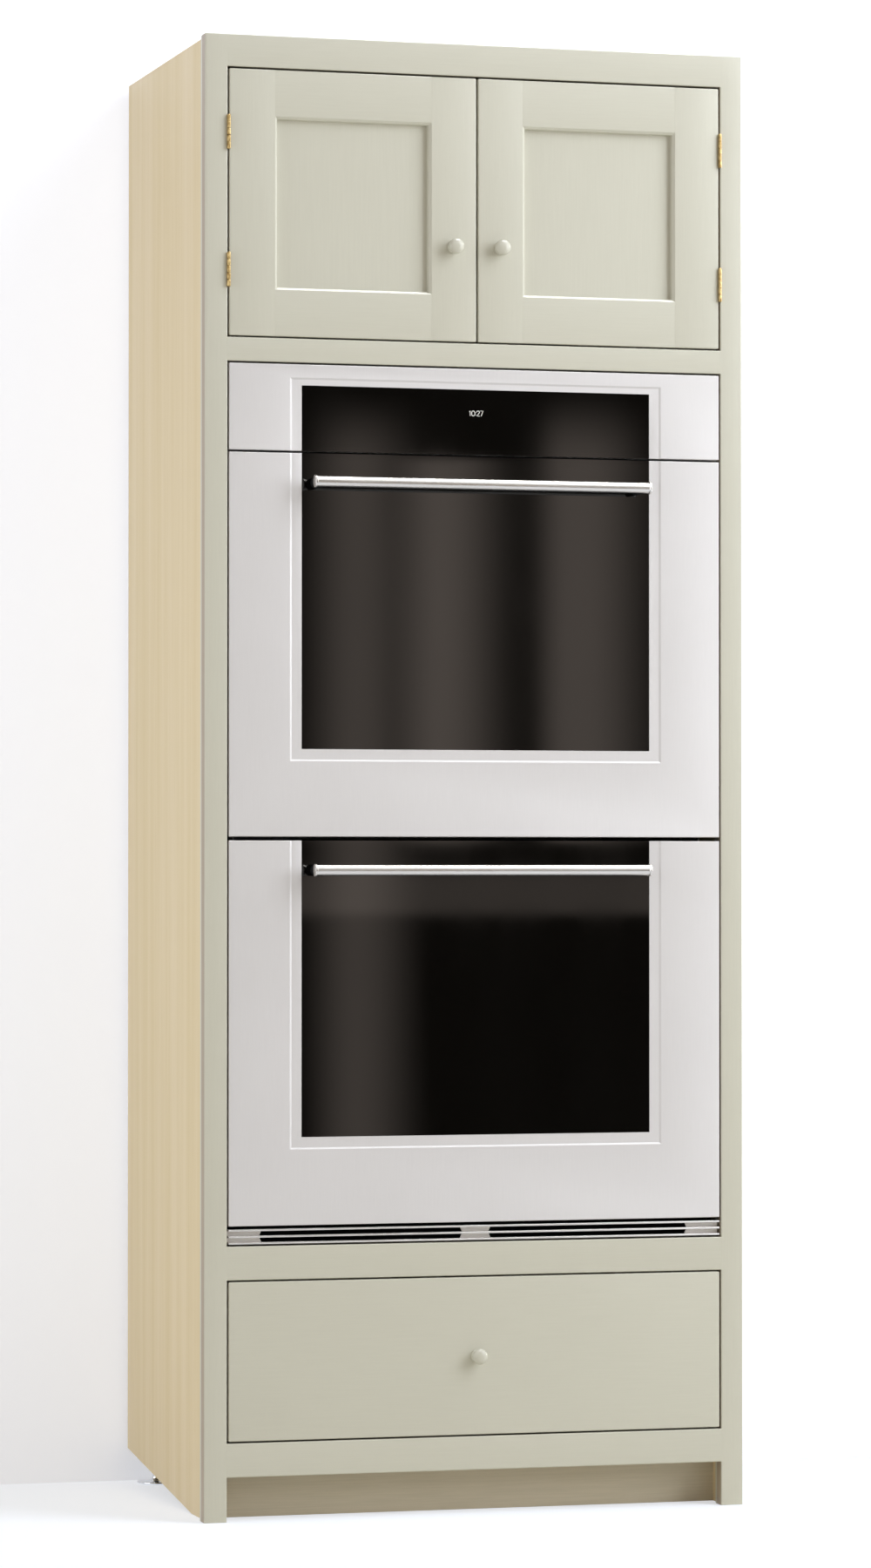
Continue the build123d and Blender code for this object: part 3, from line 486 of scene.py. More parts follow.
def door_bar(first, second, along, outer, eased_ends, axis):
    """Door stile or rail as sections along its length: the corner on the outer side of the
    front is rounded, the inner one only broken. Eased ends round over as that corner does."""
    front = (door_round, joint_arris) if outer < 0 else (joint_arris, door_round)
    back = (door_back_arris, 0.0) if outer > 0 else (0.0, door_back_arris)
    joint = np.array([[0.0, joint_arris], [joint_arris, 0.0]])
    lifts, draws = arris(door_round) if eased_ends else joint
    places = [*(along[0] + lifts), *(along[1] - lifts[::-1])]
    stations = []
    for place, draw in zip(places, [*draws, *draws[::-1]]):
        pair = first
        if eased_ends:
            pair = (first[0] + draw, first[1]) if outer < 0 else (first[0], first[1] - draw)
        rounds = [max(radius - draw, 0.0) for radius in front]
        stations.append((pair, (second[0] + draw, second[1]), (*back, *rounds), place))
    stations = [pole(first, second, along[0]), *stations, pole(first, second, along[1])]
    grid = lofted(stations, 5, axis=2)
    return grid if axis == 2 else grid[..., [2, 1, 0]]


# The planted moulding, from the frame inwards: a slope, a rounded edge and a drop to the panel,
# as distances in from the frame and back from the face. A fine bead of paint fills the joint at
# the frame, and a fillet the corner at the panel.
slope_in, edge_in, slope_y, edge_step, ground_y = 2.6, 3.5, 2.2, 0.3, 11.0
bead, bead_y, fillet_in, fillet_up = 0.15, 0.5, 0.4, 0.6
edge_drop, edge_short = (part[1:] for part in arris(edge_in - slope_in))
for word in ("left", "right"):
    low, high = span(f"{word}_door_frame")
    field_low, field_high = span(f"{word}_door_panel")
    depth = (0.0, high[1])
    bars = [
        door_bar((low[0], field_low[0]), depth, (low[2], high[2]), -1, True, 2),
        door_bar((field_high[0], high[0]), depth, (low[2], high[2]), 1, True, 2),
        door_bar((low[2], field_low[2]), depth, (field_low[0], field_high[0]), -1, False, 0),
        door_bar((field_high[2], high[2]), depth, (field_low[0], field_high[0]), 1, False, 0),
    ]
    piece(f"jointed_{word}_door_frame", bars, framed_paint, f"{word}_door",
          [f"{word}_door_frame"])

    field = ((field_low[0], field_high[0]), (field_low[2], field_high[2]))
    inward = [0.0, 0.0, bead, slope_in, *(edge_in - edge_short), edge_in, edge_in + fillet_in]
    depths = [field_high[1], bead_y, bead_y - bead, slope_y, *(slope_y + edge_step + edge_drop)]
    depths += [ground_y - fillet_up, ground_y]
    stations = [drawn_in(*field, draw, 0.0, place) for draw, place in zip(inward, depths)]
    stations = [pole(*field, field_high[1]), *stations, pole(*field, ground_y)]
    piece(f"moulded_{word}_door_panel", [lofted(stations, 1)], upright_paint,
          f"{word}_door", [f"{word}_door_panel"], sharp=30)

# ==== Knobs ====
# Turned beech mushrooms, painted with the doors: a domed head that is a little fuller than an
# ellipse, a waisted neck and a small foot ring, each held by a screw from behind.

still_marks = (40.0, 40.0, 40.0)
# The doors' paint with more shine, from hands.
knob_paint = painted_wood("painted_knob", still_marks, gloss=0.14)
head_radius, head_deep, fullness, head_back, neck_radius, neck_low = 11.5, 7.4, 2.25, 2.6, 5.2, 3.8
waist_flow, foot_ring_radius, foot_ring_round = 1.8, 10.2, 1.8
for node, body in (
    ("left_door_knob", "left_door"), ("right_door_knob", "right_door"), ("drawer_knob", "drawer"),
):
    low, high = span(node)
    knob_out = -low[1]
    middle = ((low[0] + high[0]) / 2, 0, (low[2] + high[2]) / 2)
    swell = np.linspace(0, np.pi / 2, 28)
    widest = knob_out - head_deep
    along = [*(widest + head_deep * np.cos(swell) ** (2 / fullness))]
    out = [*(head_radius * np.sin(swell) ** (2 / fullness))]
    under = np.linspace(0, -np.pi / 2, 9)[1:]
    along += [*(widest + head_back * np.sin(under))]
    out += [*(head_radius - head_back + head_back * np.cos(under))]
    waist = np.linspace(0, 1, 14)[1:]
    narrowing = (0.5 + 0.5 * np.cos(np.pi * waist)) ** waist_flow
    along += [*(widest - head_back + (neck_low - widest + head_back) * waist)]
    out += [*(neck_radius + (out[-1] - neck_radius) * narrowing)]
    ring_turn = np.linspace(np.pi / 2, -np.pi / 2, 11)
    along += [*(foot_ring_round + foot_ring_round * np.sin(ring_turn)), 0.0]
    out += [*(foot_ring_radius - foot_ring_round + foot_ring_round * np.cos(ring_turn)), 0.0]
    knob = turned(along, out, middle, (0, -1, 0), 64)
    piece(f"turned_{node}", [knob], knob_paint, body, [node], sharp=55)

# ==== Hinges ====
# Four solid brass butt hinges: each has a leaf on the frame and one on the door, five knuckles
# on a pin with button tips, and three countersunk screws in each leaf.

# Dull gold, browner in clouds where it has tarnished.
hinge_brass = bright_metal("drawn_brass", ("#866B3F", "#C4AC7A"), (0.3, 0.42), 5.0, 0.006)
leaf_thick, leaf_ease, leaf_corner, fold_back = 1.2, 0.2, 2.0, 0.6
knuckle_radius, knuckles, knuckle_ease, knuckle_gap = 2.4, 5, 0.5, 0.5
pin_radius, tip_radius, tip_height = 1.2, 2.0, 1.0


def eased_block(low, high, ease, corner=None, through=1):
    """Box with rounded edges: rounded rectangles stacked along one axis, drawn in by the ease
    near both ends by a quarter circle, and closed on a point at each end."""
    corner = ease if corner is None else corner
    section = [(low[axis], high[axis]) for axis in range(3) if axis != through]
    lift, inset = arris(ease, 5)
    depths = [*(low[through] + lift), *(high[through] - lift[::-1])]
    stations = [
        drawn_in(*section, draw, max(corner - draw, 0.0), depth)
        for depth, draw in zip(depths, [*inset, *inset[::-1]])
    ]
    stations = [pole(*section, depths[0]), *stations, pole(*section, depths[-1])]
    return lofted(stations, axis=through)


def screw_head(centre, axis, radius, rise):
    """Domed head with a cross recess: height falls off as the square of the radius, and drops
    where the radius is less than a reach that is long only near the four arms."""
    around, rings = 32, np.linspace(0, 1, 9)
    angle = np.linspace(0, 2 * np.pi, around + 1)
    arm = 0.12 + 0.55 * np.abs(np.cos(2 * angle)) ** 3
    sunk = np.clip(1 - (rings[:, None] / arm) ** 4, 0, 1)
    along = rise * (1 - 0.6 * rings[:, None] ** 2) - 0.75 * rise * sunk
    axis = np.array(axis, float)
    flat = turned(rings * 0, rings * radius, centre, axis, around)
    top = flat + along[..., None] * axis
    skirt = top[-1:] - 2 * rise * axis
    closing = np.broadcast_to(np.array(centre, float) - rise * axis, skirt.shape)
    return np.concatenate((top, skirt, closing))


def knuckle(axis_x, axis_y, low, high):
    """One rolled knuckle with eased ends."""
    lift, inset = arris(knuckle_ease)
    along = [low, *(low + lift), *(high - lift[::-1]), high]
    radius = [0, *(knuckle_radius - inset), *(knuckle_radius - inset[::-1]), 0]
    return turned(along, radius, (axis_x, axis_y, 0), (0, 0, 1), 28)


frame_leaf_low, frame_leaf_high = span("frame_hinge_leaves")
pins_low, pins_high = span("hinge_pins")
opening = frame_leaf_high[0]
axis_x, axis_y = pins_high[0] - tip_radius, pins_low[1] + tip_radius
hinge_height = 50.0
hinge_bottoms = (frame_leaf_low[2], frame_leaf_high[2] - hinge_height)
leaf_back = frame_leaf_high[1]
door_edge = -left_door_low[0]
step = hinge_height / knuckles
screw_places, leaf_screw, leaf_screw_rise = ((7.0, 8.0), (15.0, 25.0), (7.0, 42.0)), 2.7, 0.12
pin_grids, frame_grids = [], []
for side, word in ((-1, "left"), (1, "right")):
    door_grids = []
    for bottom in hinge_bottoms:
        for grids, near, far, first, facing in (
            (frame_grids, opening - leaf_thick, opening, 0, -side),
            (door_grids, door_edge, door_edge + leaf_thick, 1, side),
        ):
            x = sorted((side * near, side * far))
            corners = ((x[0], 0, bottom), (x[1], leaf_back, bottom + hinge_height))
            grids.append(eased_block(*corners, leaf_ease, leaf_corner, 0))
            for index in range(first, knuckles, 2):
                low = bottom + index * step + knuckle_gap / 2
                high = low + step - knuckle_gap
                grids.append(knuckle(side * axis_x, axis_y, low, high))
                grids.append(eased_block((x[0], axis_y, low), (x[1], fold_back, high), leaf_ease))
            seen_x = x[1] if facing > 0 else x[0]
            for screw_y, screw_up in screw_places:
                place = (seen_x, screw_y, bottom + screw_up)
                grids.append(screw_head(place, (facing, 0, 0), leaf_screw, leaf_screw_rise))
        tip, tip_rise = tip_radius * np.cos(quarter), tip_height * np.sin(quarter)
        along = [*(-tip_rise[::-1]), 0, hinge_height, *(hinge_height + tip_rise)]
        radius = [*tip[::-1], pin_radius, pin_radius, *tip]
        pin_grids.append(turned(along, radius, (side * axis_x, axis_y, bottom), (0, 0, 1), 24))
    piece(f"brass_{word}_door_leaves", door_grids, hinge_brass,
          f"{word}_door", [f"{word}_hinge_leaves"])
piece("brass_frame_leaves", frame_grids, hinge_brass, "cabinet",
      ["frame_hinge_leaves"])
piece("brass_hinge_pins", pin_grids, hinge_brass, "cabinet", ["hinge_pins"])

# ==== Drawer ====
# A painted slab front screwed to a solid maple box. The box sides are dovetailed to its front
# and back, so the end grain of the pins shows on each side.

drawer_front_low, drawer_front_high = span("drawer_front")
slab = eased_block(drawer_front_low, drawer_front_high, door_round)
slab_paint = painted_wood("painted_drawer_front", level_strokes)
piece("planed_drawer_front", [slab], slab_paint, "drawer", ["drawer_front"])
drawer_maple = maple_board("maple_drawer_box", 1, ("#DCC392", "#EAD6AA"), crossing=0)
dress(drawer_maple, "drawer_box")
# End grain drinks the lacquer, so it is darker and browner.
end_grain = maple_board("maple_end_grain", 1, ("#A98652", "#C3A06A"))
box_low, box_high = span("drawer_box")
box_side, tails, pin_narrow, pin_wide, pin_proud, pin_deep = 16.0, 5, 5.0, 11.0, 0.12, 0.3
tail_step = (box_high[2] - box_low[2]) / tails
dovetail_grids = []


def flat_tile(outline, near, far, through=0):
    """A thin tile: a polygon of points carried from near to far along one axis and closed."""
    ring = np.array([*outline, outline[0]], float)
    middle = np.broadcast_to(ring[:-1].mean(axis=0), ring.shape)
    rows = []
    for shape, depth in ((middle, near), (ring, near), (ring, far), (middle, far)):
        rows.append(np.insert(shape, through, depth, axis=1))
    return np.array(rows)


for side in (-1, 1):
    outer = side * box_high[0]
    for end_y, inward in ((box_low[1], 1), (box_high[1], -1)):
        for index in range(tails + 1):
            middle_z = box_low[2] + index * tail_step
            outline = []
            for y, half in ((end_y, pin_narrow / 2), (end_y + inward * box_side, pin_wide / 2)):
                ends = np.clip((middle_z - half, middle_z + half), box_low[2], box_high[2])
                outline += [(y, z) for z in (ends if y == end_y else ends[::-1])]
            near, far = outer - side * pin_deep, outer + side * pin_proud
            dovetail_grids.append(flat_tile(outline, near, far))
piece("drawer_dovetail_pins", dovetail_grids, end_grain, "drawer")

# ==== Drawer runners ====
# One pair of ball-bearing runners of rolled zinc-plated steel: a channel on the cabinet, a
# middle member and a slide on the drawer, with caged balls between them.


def zinc_plate(name, tones, roughness, spangle):
    """Zinc-coated steel sheet: crystals of slightly different sheen, spangle mm across."""
    finish, tree, shader = new_finish(name, {"Metallic": 0.9})
    place = add_node(tree, "TexCoord")
    crystals = add_node(
        tree, "TexVoronoi", {"Vector": place.outputs["Object"], "Scale": 1 / (spangle * mm)}
    )
    grey = add_node(tree, "SeparateColor", {"Color": crystals.outputs["Color"]})
    cloud = spots(tree, (140, 140, 140))
    vary(tree, shader, together(tree, grey.outputs["Red"], cloud, 0.4), tones, roughness)
    return finish


# Even, bluish grey with a soft shine.
runner_zinc = bright_metal("zinc_runner_steel", ("#B6B8B9", "#C9CBCC"), (0.28, 0.36), 35.0)
dress(runner_zinc, "runner_channels", "runner_middles", "runner_slides")

# ==== Oven casing ====
# Folded sheets of zinc-coated steel screwed round both ovens, with pressed louvres that let the
# cooling air out of the back.

# Flat grey crystals, each catching the light a little differently.
casing_zinc = zinc_plate("zinc_casing_steel", ("#A4A6A5", "#BCBEBD"), (0.5, 0.38), 11.0)
dress(casing_zinc, "oven_casing")
casing_low, casing_high = span("oven_casing")
louvre_half, louvre_wide, louvre_out, louvre_pitch, louvres = 42.0, 9.0, 3.2, 18.0, 7
louvre_x, louvre_from_foot, louvre_from_head = 210.0, 180.0, 320.0
screw_in, corner_in, screw_reach = 8.0, 30.0, 240.0


def louvre(middle_x, low_z, back_y):
    """A pressed scoop: a half ellipse along its length, and half a sine wave across."""
    along = np.linspace(-1, 1, 25)[:, None]
    across = np.linspace(0, 1, 9)[None, :]
    x = middle_x + louvre_half * along + 0 * across
    z = low_z + louvre_wide * across + 0 * along
    rise = louvre_out * np.sqrt(np.clip(1 - along ** 2, 0, 1)) * np.sin(np.pi * across ** 0.6)
    front = np.stack((x, back_y + rise, z), axis=-1)
    back = np.stack((x, back_y - 0.4 + 0 * x, z), axis=-1)[:, ::-1]
    return np.concatenate((front, back, front[:, :1]), axis=1)


louvre_grids = [
    louvre(bank_x, low_z + index * louvre_pitch, casing_high[1])
    for bank_x in (-louvre_x, louvre_x)
    for low_z in (casing_low[2] + louvre_from_foot, casing_high[2] - louvre_from_head)
    for index in range(louvres)
]
piece("casing_louvres", louvre_grids, casing_zinc, "cabinet")

edges_x = (casing_low[0] + screw_in, casing_high[0] - screw_in)
edges_z = (casing_low[2] + screw_in, casing_high[2] - screw_in)
rows_x = np.linspace(-screw_reach, screw_reach, 4)
rows_z = np.linspace(casing_low[2] + corner_in, casing_high[2] - corner_in, 8)
places = [(x, z) for x in edges_x for z in rows_z] + [(x, z) for z in edges_z for x in rows_x]
casing_screws = [screw_head((x, casing_high[1], z), (0, 1, 0), 4.0, 1.6) for x, z in places]
piece("casing_screws", casing_screws, nickel, "cabinet")

# ==== Cable inlet ====
# A moulded terminal box on the back of the casing with two lid screws, and a compression gland
# with a hexagon nut for the mains cable.

inlet_low, inlet_high = span("cable_inlet")
gland_x, gland_z = (inlet_low[0] + inlet_high[0]) / 2, (inlet_low[2] + inlet_high[2]) / 2
box_deep, lid_screw_in, gland_out, bore_radius, mouth_ease = 12.0, 9.0, 10.0, 6.0, 1.2
nut_long, cap_share, knurls, knurl_high = 6.5, 0.84, 24, 0.35
box_back = inlet_low[1] + box_deep
box_grids = [eased_block(inlet_low, (inlet_high[0], box_back, inlet_high[2]), 2.0, 5.0)]
for screw_x in (inlet_low[0] + lid_screw_in, inlet_high[0] - lid_screw_in):
    box_grids.append(screw_head((screw_x, box_back, gland_z), (0, 1, 0), 3.4, 0.8))
angle = np.linspace(0, 2 * np.pi, 97)
sixth = np.mod(angle, np.pi / 3) - np.pi / 6
hexagon = gland_out * np.cos(np.pi / 6) / np.cos(sixth)
collar = gland_out * cap_share + knurl_high * np.cos(knurls * angle)
hollow = np.full(97, bore_radius)
gland_length = inlet_high[1] - box_back
along = [0, 0, nut_long, nut_long, gland_length - mouth_ease, gland_length, gland_length, 0]
rings = [hollow, hexagon, hexagon, collar, collar, collar - mouth_ease, hollow, hollow]
gland = turned(along, np.array(rings), (gland_x, box_back, gland_z), (0, 1, 0), 96)
piece("moulded_cable_inlet", [*box_grids, gland], black_nylon, "cabinet",
      ["cable_inlet"])

# ==== Oven cavities ====
# Each oven is a drawn steel box with rounded corners and a wide flange at its mouth, coated
# inside and out with speckled dark enamel. The hole in its back wall takes the fan's shaft.


def speckled_enamel(name, ground, speck):
    """Vitreous enamel: deep glossy ground with fine pale specks and a slight orange-peel."""
    finish, tree, shader = new_finish(name, {"IOR": 1.55, "Coat Weight": 0.4, "Coat Roughness": 0.08})
    fine = spots(tree, (1.6, 1.6, 1.6), 2.0, 0.60, 0.68)
    vary(tree, shader, fine, (ground, speck), (0.16, 0.22), 0.01)
    return finish


# Deep blue-black, wet-looking, with a fine pale speckle.
dark_enamel = speckled_enamel("speckled_enamel", "#1C1D21", "#5B5E66")
sheet, corner_radius, lip, back_round, flange_corner, shaft_hole = 2.0, 26.0, 4.0, 22.0, 5.0, 8.0
cavity_half, cavity_up, fan_up = 300.0, (75.0, 475.0), 275.0
oven_words = ("upper", "lower")


def grown(level, grow, radius, y):
    """Station of the cavity's mouth, grown outwards on all sides by so many millimetres."""
    heights = (level + cavity_up[0], level + cavity_up[1])
    return drawn_in((-cavity_half, cavity_half), heights, -grow, radius, y)


levels = {}
mouth_arc, back_arc = [*zip(*arris(lip))], [*zip(*arris(back_round))]
for word in oven_words:
    low, high = span(f"{word}_cavity")
    level = low[2] - 1.0
    levels[word] = level
    flange = ((low[0], high[0]), (low[2], high[2]))
    front, back = low[1], high[1]
    hole = ((-shaft_hole, shaft_hole), (level + fan_up - shaft_hole, level + fan_up + shaft_hole))
    stations = [(*flange, flange_corner, front + sheet), (*flange, flange_corner, front)]
    stations += [grown(level, draw, corner_radius + draw, front + rise) for rise, draw in mouth_arc]
    stations += [grown(level, -rise, corner_radius, back - sheet - draw) for rise, draw in back_arc]
    stations += [(*hole, shaft_hole, back - sheet), (*hole, shaft_hole, back)]
    stations += [
        grown(level, sheet - rise, corner_radius, back - draw) for rise, draw in back_arc[::-1]
    ]
    stations += [grown(level, sheet, corner_radius, front + sheet + lip)]
    stations += [grown(level, lip, corner_radius + lip, front + sheet), stations[0]]
    piece(f"drawn_{word}_cavity", [lofted(stations, 8)], dark_enamel, "cabinet",
          [f"{word}_cavity"])

# ==== Door seals ====
# A bulb of braided glass fibre over a wire core, clipped round each mouth, on which the door
# closes.


def braided_seal(name):
    """Dark glass-fibre braid: two sets of slanting yarns, 2.5 mm apart, fuzzy and dull."""
    finish, tree, shader = new_finish(name, {"IOR": 1.45, "Sheen Weight": 0.2})
    place = add_node(tree, "TexCoord")
    yarns = []
    for slant in (45, -45):
        turned_by = {"Vector": place.outputs["Object"], "Rotation": (0, radians(slant), 0)}
        laid = add_node(tree, "Mapping", turned_by)
        pitch = {"Vector": laid.outputs["Vector"], "Scale": 1 / (2.5 * mm) / 6.283}
        yarns.append(add_node(tree, "TexWave", pitch).outputs["Fac"])
    vary(tree, shader, together(tree, *yarns, 0.5), ("#2A2A2B", "#4C4B49"), (0.9, 0.8), 0.3)
    return finish


seal_braid = braided_seal("braided_seal")
seal_low, seal_high = span("door_seals")
seal_grow, seal_half, seal_corner, bulb_turn = 10.0, 6.0, 30.0, np.linspace(0, 2 * np.pi, 17)
seal_depth = (seal_high[1] - seal_low[1]) / 2
seal_grids = []
for word in oven_words:
    stations = [
        grown(levels[word], seal_grow + seal_half * np.cos(a), seal_corner + seal_half * np.cos(a),
              seal_low[1] + seal_depth - seal_depth * np.sin(a))
        for a in bulb_turn
    ]
    seal_grids.append(lofted(stations, 8))
piece("braided_door_seals", seal_grids, seal_braid, "cabinet", ["door_seals"])

# ==== Rack guides and racks ====
# Chromed wire: hairpin ledges welded to two posts on each wall, and two racks whose border is
# one bent bar with thinner wires welded across it.


def bent_wire(corners, bend, per_bend=7, closed=False):
    """Straight runs joined by arcs: each corner becomes a circle's arc that touches both runs."""
    corners = np.array(corners, float)
    before, after = np.roll(corners, 1, axis=0), np.roll(corners, -1, axis=0)
    path = []
    for here, last, following in zip(corners, before, after):
        back = (last - here) / np.linalg.norm(last - here)
        ahead = (following - here) / np.linalg.norm(following - here)
        turning = np.pi - np.arccos(np.clip(back @ ahead, -1, 1))
        outward = (back + ahead) / max(np.linalg.norm(back + ahead), 1e-9)
        centre = here + outward * bend / np.cos(turning / 2)
        reach = bend * np.tan(turning / 2)
        first, last_spoke = here + back * reach - centre, here + ahead * reach - centre
        share = np.linspace(0, 1, per_bend)[:, None]
        arc = np.sin((1 - share) * turning) * first + np.sin(share * turning) * last_spoke
        path.append(centre + arc / np.sin(turning))
    if closed:
        return np.concatenate([*path, path[0][:1]])
    path[0], path[-1] = corners[:1], corners[-1:]
    return np.concatenate(path)


def tube(path, radius, flat_normal, around=12):
    """Round bar along a flat path: rings square to the path, about the plane's own normal."""
    path = np.array(path, float)
    closed = np.allclose(path[0], path[-1])
    if closed:
        ahead = np.roll(path[:-1], -1, axis=0) - np.roll(path[:-1], 1, axis=0)
        ahead = np.vstack((ahead, ahead[:1]))
    else:
        ahead = np.gradient(path, axis=0)
    ahead /= np.linalg.norm(ahead, axis=1)[:, None]
    normal = np.array(flat_normal, float)
    beside = np.cross(normal, ahead)
    angle = np.linspace(0, 2 * np.pi, around + 1)[None, :, None]
    ring = np.cos(angle) * beside[:, None] + np.sin(angle) * normal
    bar = path[:, None] + radius * ring
    if closed:
        return bar
    ends = [np.broadcast_to(path[end], bar[:1].shape) for end in (0, -1)]
    return np.concatenate((ends[0], bar, ends[1]))


# Bright wire, a little yellowed by heat.
rack_chrome = bright_metal("chromed_wire", ("#CFCDC6", "#E4E4E2"), (0.14, 0.22), 30.0)
guide_low, guide_high = span("rack_guides")
wire, guide_post, ledge_depth, ledge_bend = 1.0, 2.5, 12.0, 4.0
rack_ups, racked = (150.0, 245.0, 340.0), (150.0, 340.0)
posts_y, posts_up = (90.0, 400.0), (110.0, 400.0)
nose_turn = np.linspace(0, np.pi / 2, 5)
nose_rise, nose_out = guide_post * (1 - np.cos(nose_turn)), guide_post * np.sin(nose_turn)
guide_grids, rack_grids = [], []
rack_low, rack_high = span("oven_racks")
border, cross_wire, cross_wires, rack_bend = 3.0, 1.5, 13, 14.0
for level in levels.values():
    for side in (-1, 1):
        wall = side * guide_high[0]
        inner, outer = wall - side * (ledge_depth - wire), wall - side * wire
        for rack_up in rack_ups:
            z = level + rack_up - wire
            near, far = guide_low[1] + wire, guide_high[1] - wire
            hairpin = [(outer, near, z), (inner, near, z), (inner, far, z), (outer, far, z)]
            loop = bent_wire(hairpin, ledge_bend, closed=True)
            guide_grids.append(tube(loop, wire, (0, 0, 1), 10))
        for post_y in posts_y:
            along = [*(level + posts_up[0] + nose_rise), *(level + posts_up[1] - nose_rise[::-1])]
            place = (wall - side * guide_post, post_y, 0)
            guide_grids.append(turned(along, [*nose_out, *nose_out[::-1]], place, (0, 0, 1), 16))
    for rack_up in racked:
        z = level + rack_up + border
        x = (rack_low[0] + border, rack_high[0] - border)
        y = (rack_low[1] + border, rack_high[1] - border)
        square = [(x[0], y[0], z), (x[1], y[0], z), (x[1], y[1], z), (x[0], y[1], z)]
        rack_grids.append(tube(bent_wire(square, rack_bend, closed=True), border, (0, 0, 1), 16))
        for wire_x in np.linspace(x[0], x[1], cross_wires + 2)[1:-1]:
            run = np.array([(wire_x, y[0], z), (wire_x, y[1], z)])
            rack_grids.append(tube(run, cross_wire, (0, 0, 1), 10))
piece("wire_rack_guides", guide_grids, rack_chrome, "cabinet", ["rack_guides"])
piece("wire_oven_racks", rack_grids, rack_chrome, "cabinet", ["oven_racks"])

# ==== Heating elements ====
# Sheathed elements of nickel steel, darkened by heat: one bent to and fro under each roof with
# a plate on the back wall, and a ring on two legs round each fan.

# Brown-grey with no shine, from red heat.
element_steel = bright_metal("heated_element_steel", ("#3E3936", "#6A5D50"), (0.42, 0.58), 45.0)
element_radius, element_half, runs, element_y, below_roof = 3.3, 210.0, 6, (90.0, 400.0), 20.0
element_bend, ring_radius, ring_y, leg_x, leg_radius = 25.0, 92.0, 452.0, 12.0, 2.8
plate_half, plate_thick, plate_tall = 14.0, 1.5, 11.0
cavity_back = span("upper_cavity")[1][1] - sheet
element_grids = []
for level in levels.values():
    bar_z = level + cavity_up[1] - below_roof
    places = np.linspace(-element_half, element_half, runs)
    corners = [(places[0], cavity_back, bar_z)]
    for index, run_x in enumerate(places):
        pair = [(run_x, element_y[1], bar_z), (run_x, element_y[0], bar_z)]
        corners += pair if index % 2 == 0 else pair[::-1]
    corners = [corners[0], *corners[2:-1], (places[-1], cavity_back, bar_z)]
    element_grids.append(tube(bent_wire(corners, element_bend, 12), element_radius, (0, 0, 1), 14))
    for end_x in (places[0], places[-1]):
        plate_low = (end_x - plate_half, cavity_back - plate_thick, bar_z - plate_tall)
        plate_high = (end_x + plate_half, cavity_back, bar_z + plate_tall)
        element_grids.append(eased_block(plate_low, plate_high, 0.6, 5.0))
    whole = np.linspace(0, 2 * np.pi, 73)
    middle_z = level + fan_up
    loop = np.column_stack((ring_radius * np.sin(whole), ring_y + 0 * whole,
                            middle_z - ring_radius * np.cos(whole)))
    element_grids.append(tube(loop, element_radius, (0, 1, 0), 14))
    leg_z = middle_z - (ring_radius ** 2 - leg_x ** 2) ** 0.5
    for root_x in (-leg_x, leg_x):
        leg = [(root_x, ring_y, leg_z), (root_x, cavity_back, leg_z)]
        element_grids.append(tube(leg, leg_radius, (0, 0, 1), 12))
piece("sheathed_elements", element_grids, element_steel, "cabinet",
      ["heating_elements"])

# ==== Fans, their covers and motors ====
# A steel wheel with bent blades turns behind a pressed, enamelled cover with slots set like
# spokes; its round motor sits on the back of the cavity inside the casing.


def brushed_steel(name, tones, roughness, marks, metallic=1.0):
    """Stainless steel with a fine satin grain; marks is the size in mm of one scratch."""
    finish, tree, shader = new_finish(name, {"Metallic": metallic})
    grain = together(tree, spots(tree, marks, 2.0), spots(tree, (180, 180, 180)), 0.4)
    vary(tree, shader, grain, tones, roughness, 0.002)
    return finish


# Two plain steels, one bright and brushed, one greyer where it was drawn.
fan_steel = brushed_steel("fan_steel", ("#A9A9A7", "#C4C4C2"), (0.3, 0.4), (30, 1.2, 1.2))
motor_steel = brushed_steel("drawn_motor_steel", ("#8E9092", "#A8AAAC"), (0.4, 0.5), (1.2, 30, 1.2))
dress(fan_steel, "upper_fan", "lower_fan")
dress(motor_steel, "fan_motors")


def rolled_copy(node, name, finish, body, roll):
    """A node's own mesh, joined up, with every edge over 20 degrees rolled by a live bevel."""
    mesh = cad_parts[node].data.copy()
    mesh.name = name
    shell = bmesh.new()
    shell.from_mesh(mesh)
    bmesh.ops.remove_doubles(shell, verts=shell.verts, dist=1e-6)
    bmesh.ops.dissolve_limit(shell, angle_limit=radians(0.5), verts=shell.verts, edges=shell.edges)
    shell.to_mesh(mesh)
    shell.free()
    made = placed(name, mesh, finish, body, [node], 38)
    rolled = made.modifiers.new("rolled_edges", "BEVEL")
    rolled.width, rolled.segments, rolled.limit_method = roll * mm, 3, "ANGLE"
    rolled.angle_limit, rolled.harden_normals = radians(20), True


rolled_copy("fan_covers", "pressed_fan_covers", dark_enamel, "cabinet", 0.6)
cover_low, cover_high = span("fan_covers")
cover_screw = cover_high[0] - 11.0
cover_screws = []
for level in levels.values():
    for sign_x, sign_z in ((-1, -1), (-1, 1), (1, -1), (1, 1)):
        place = (sign_x * cover_screw, cover_low[1], level + fan_up + sign_z * cover_screw)
        cover_screws.append(screw_head(place, (0, -1, 0), 4.0, 1.4))
piece("fan_cover_screws", cover_screws, nickel, "cabinet")

# ==== Oven lamps ====
# A heat-proof glass lens in a chromed ring on each back wall, beside the fan cover.

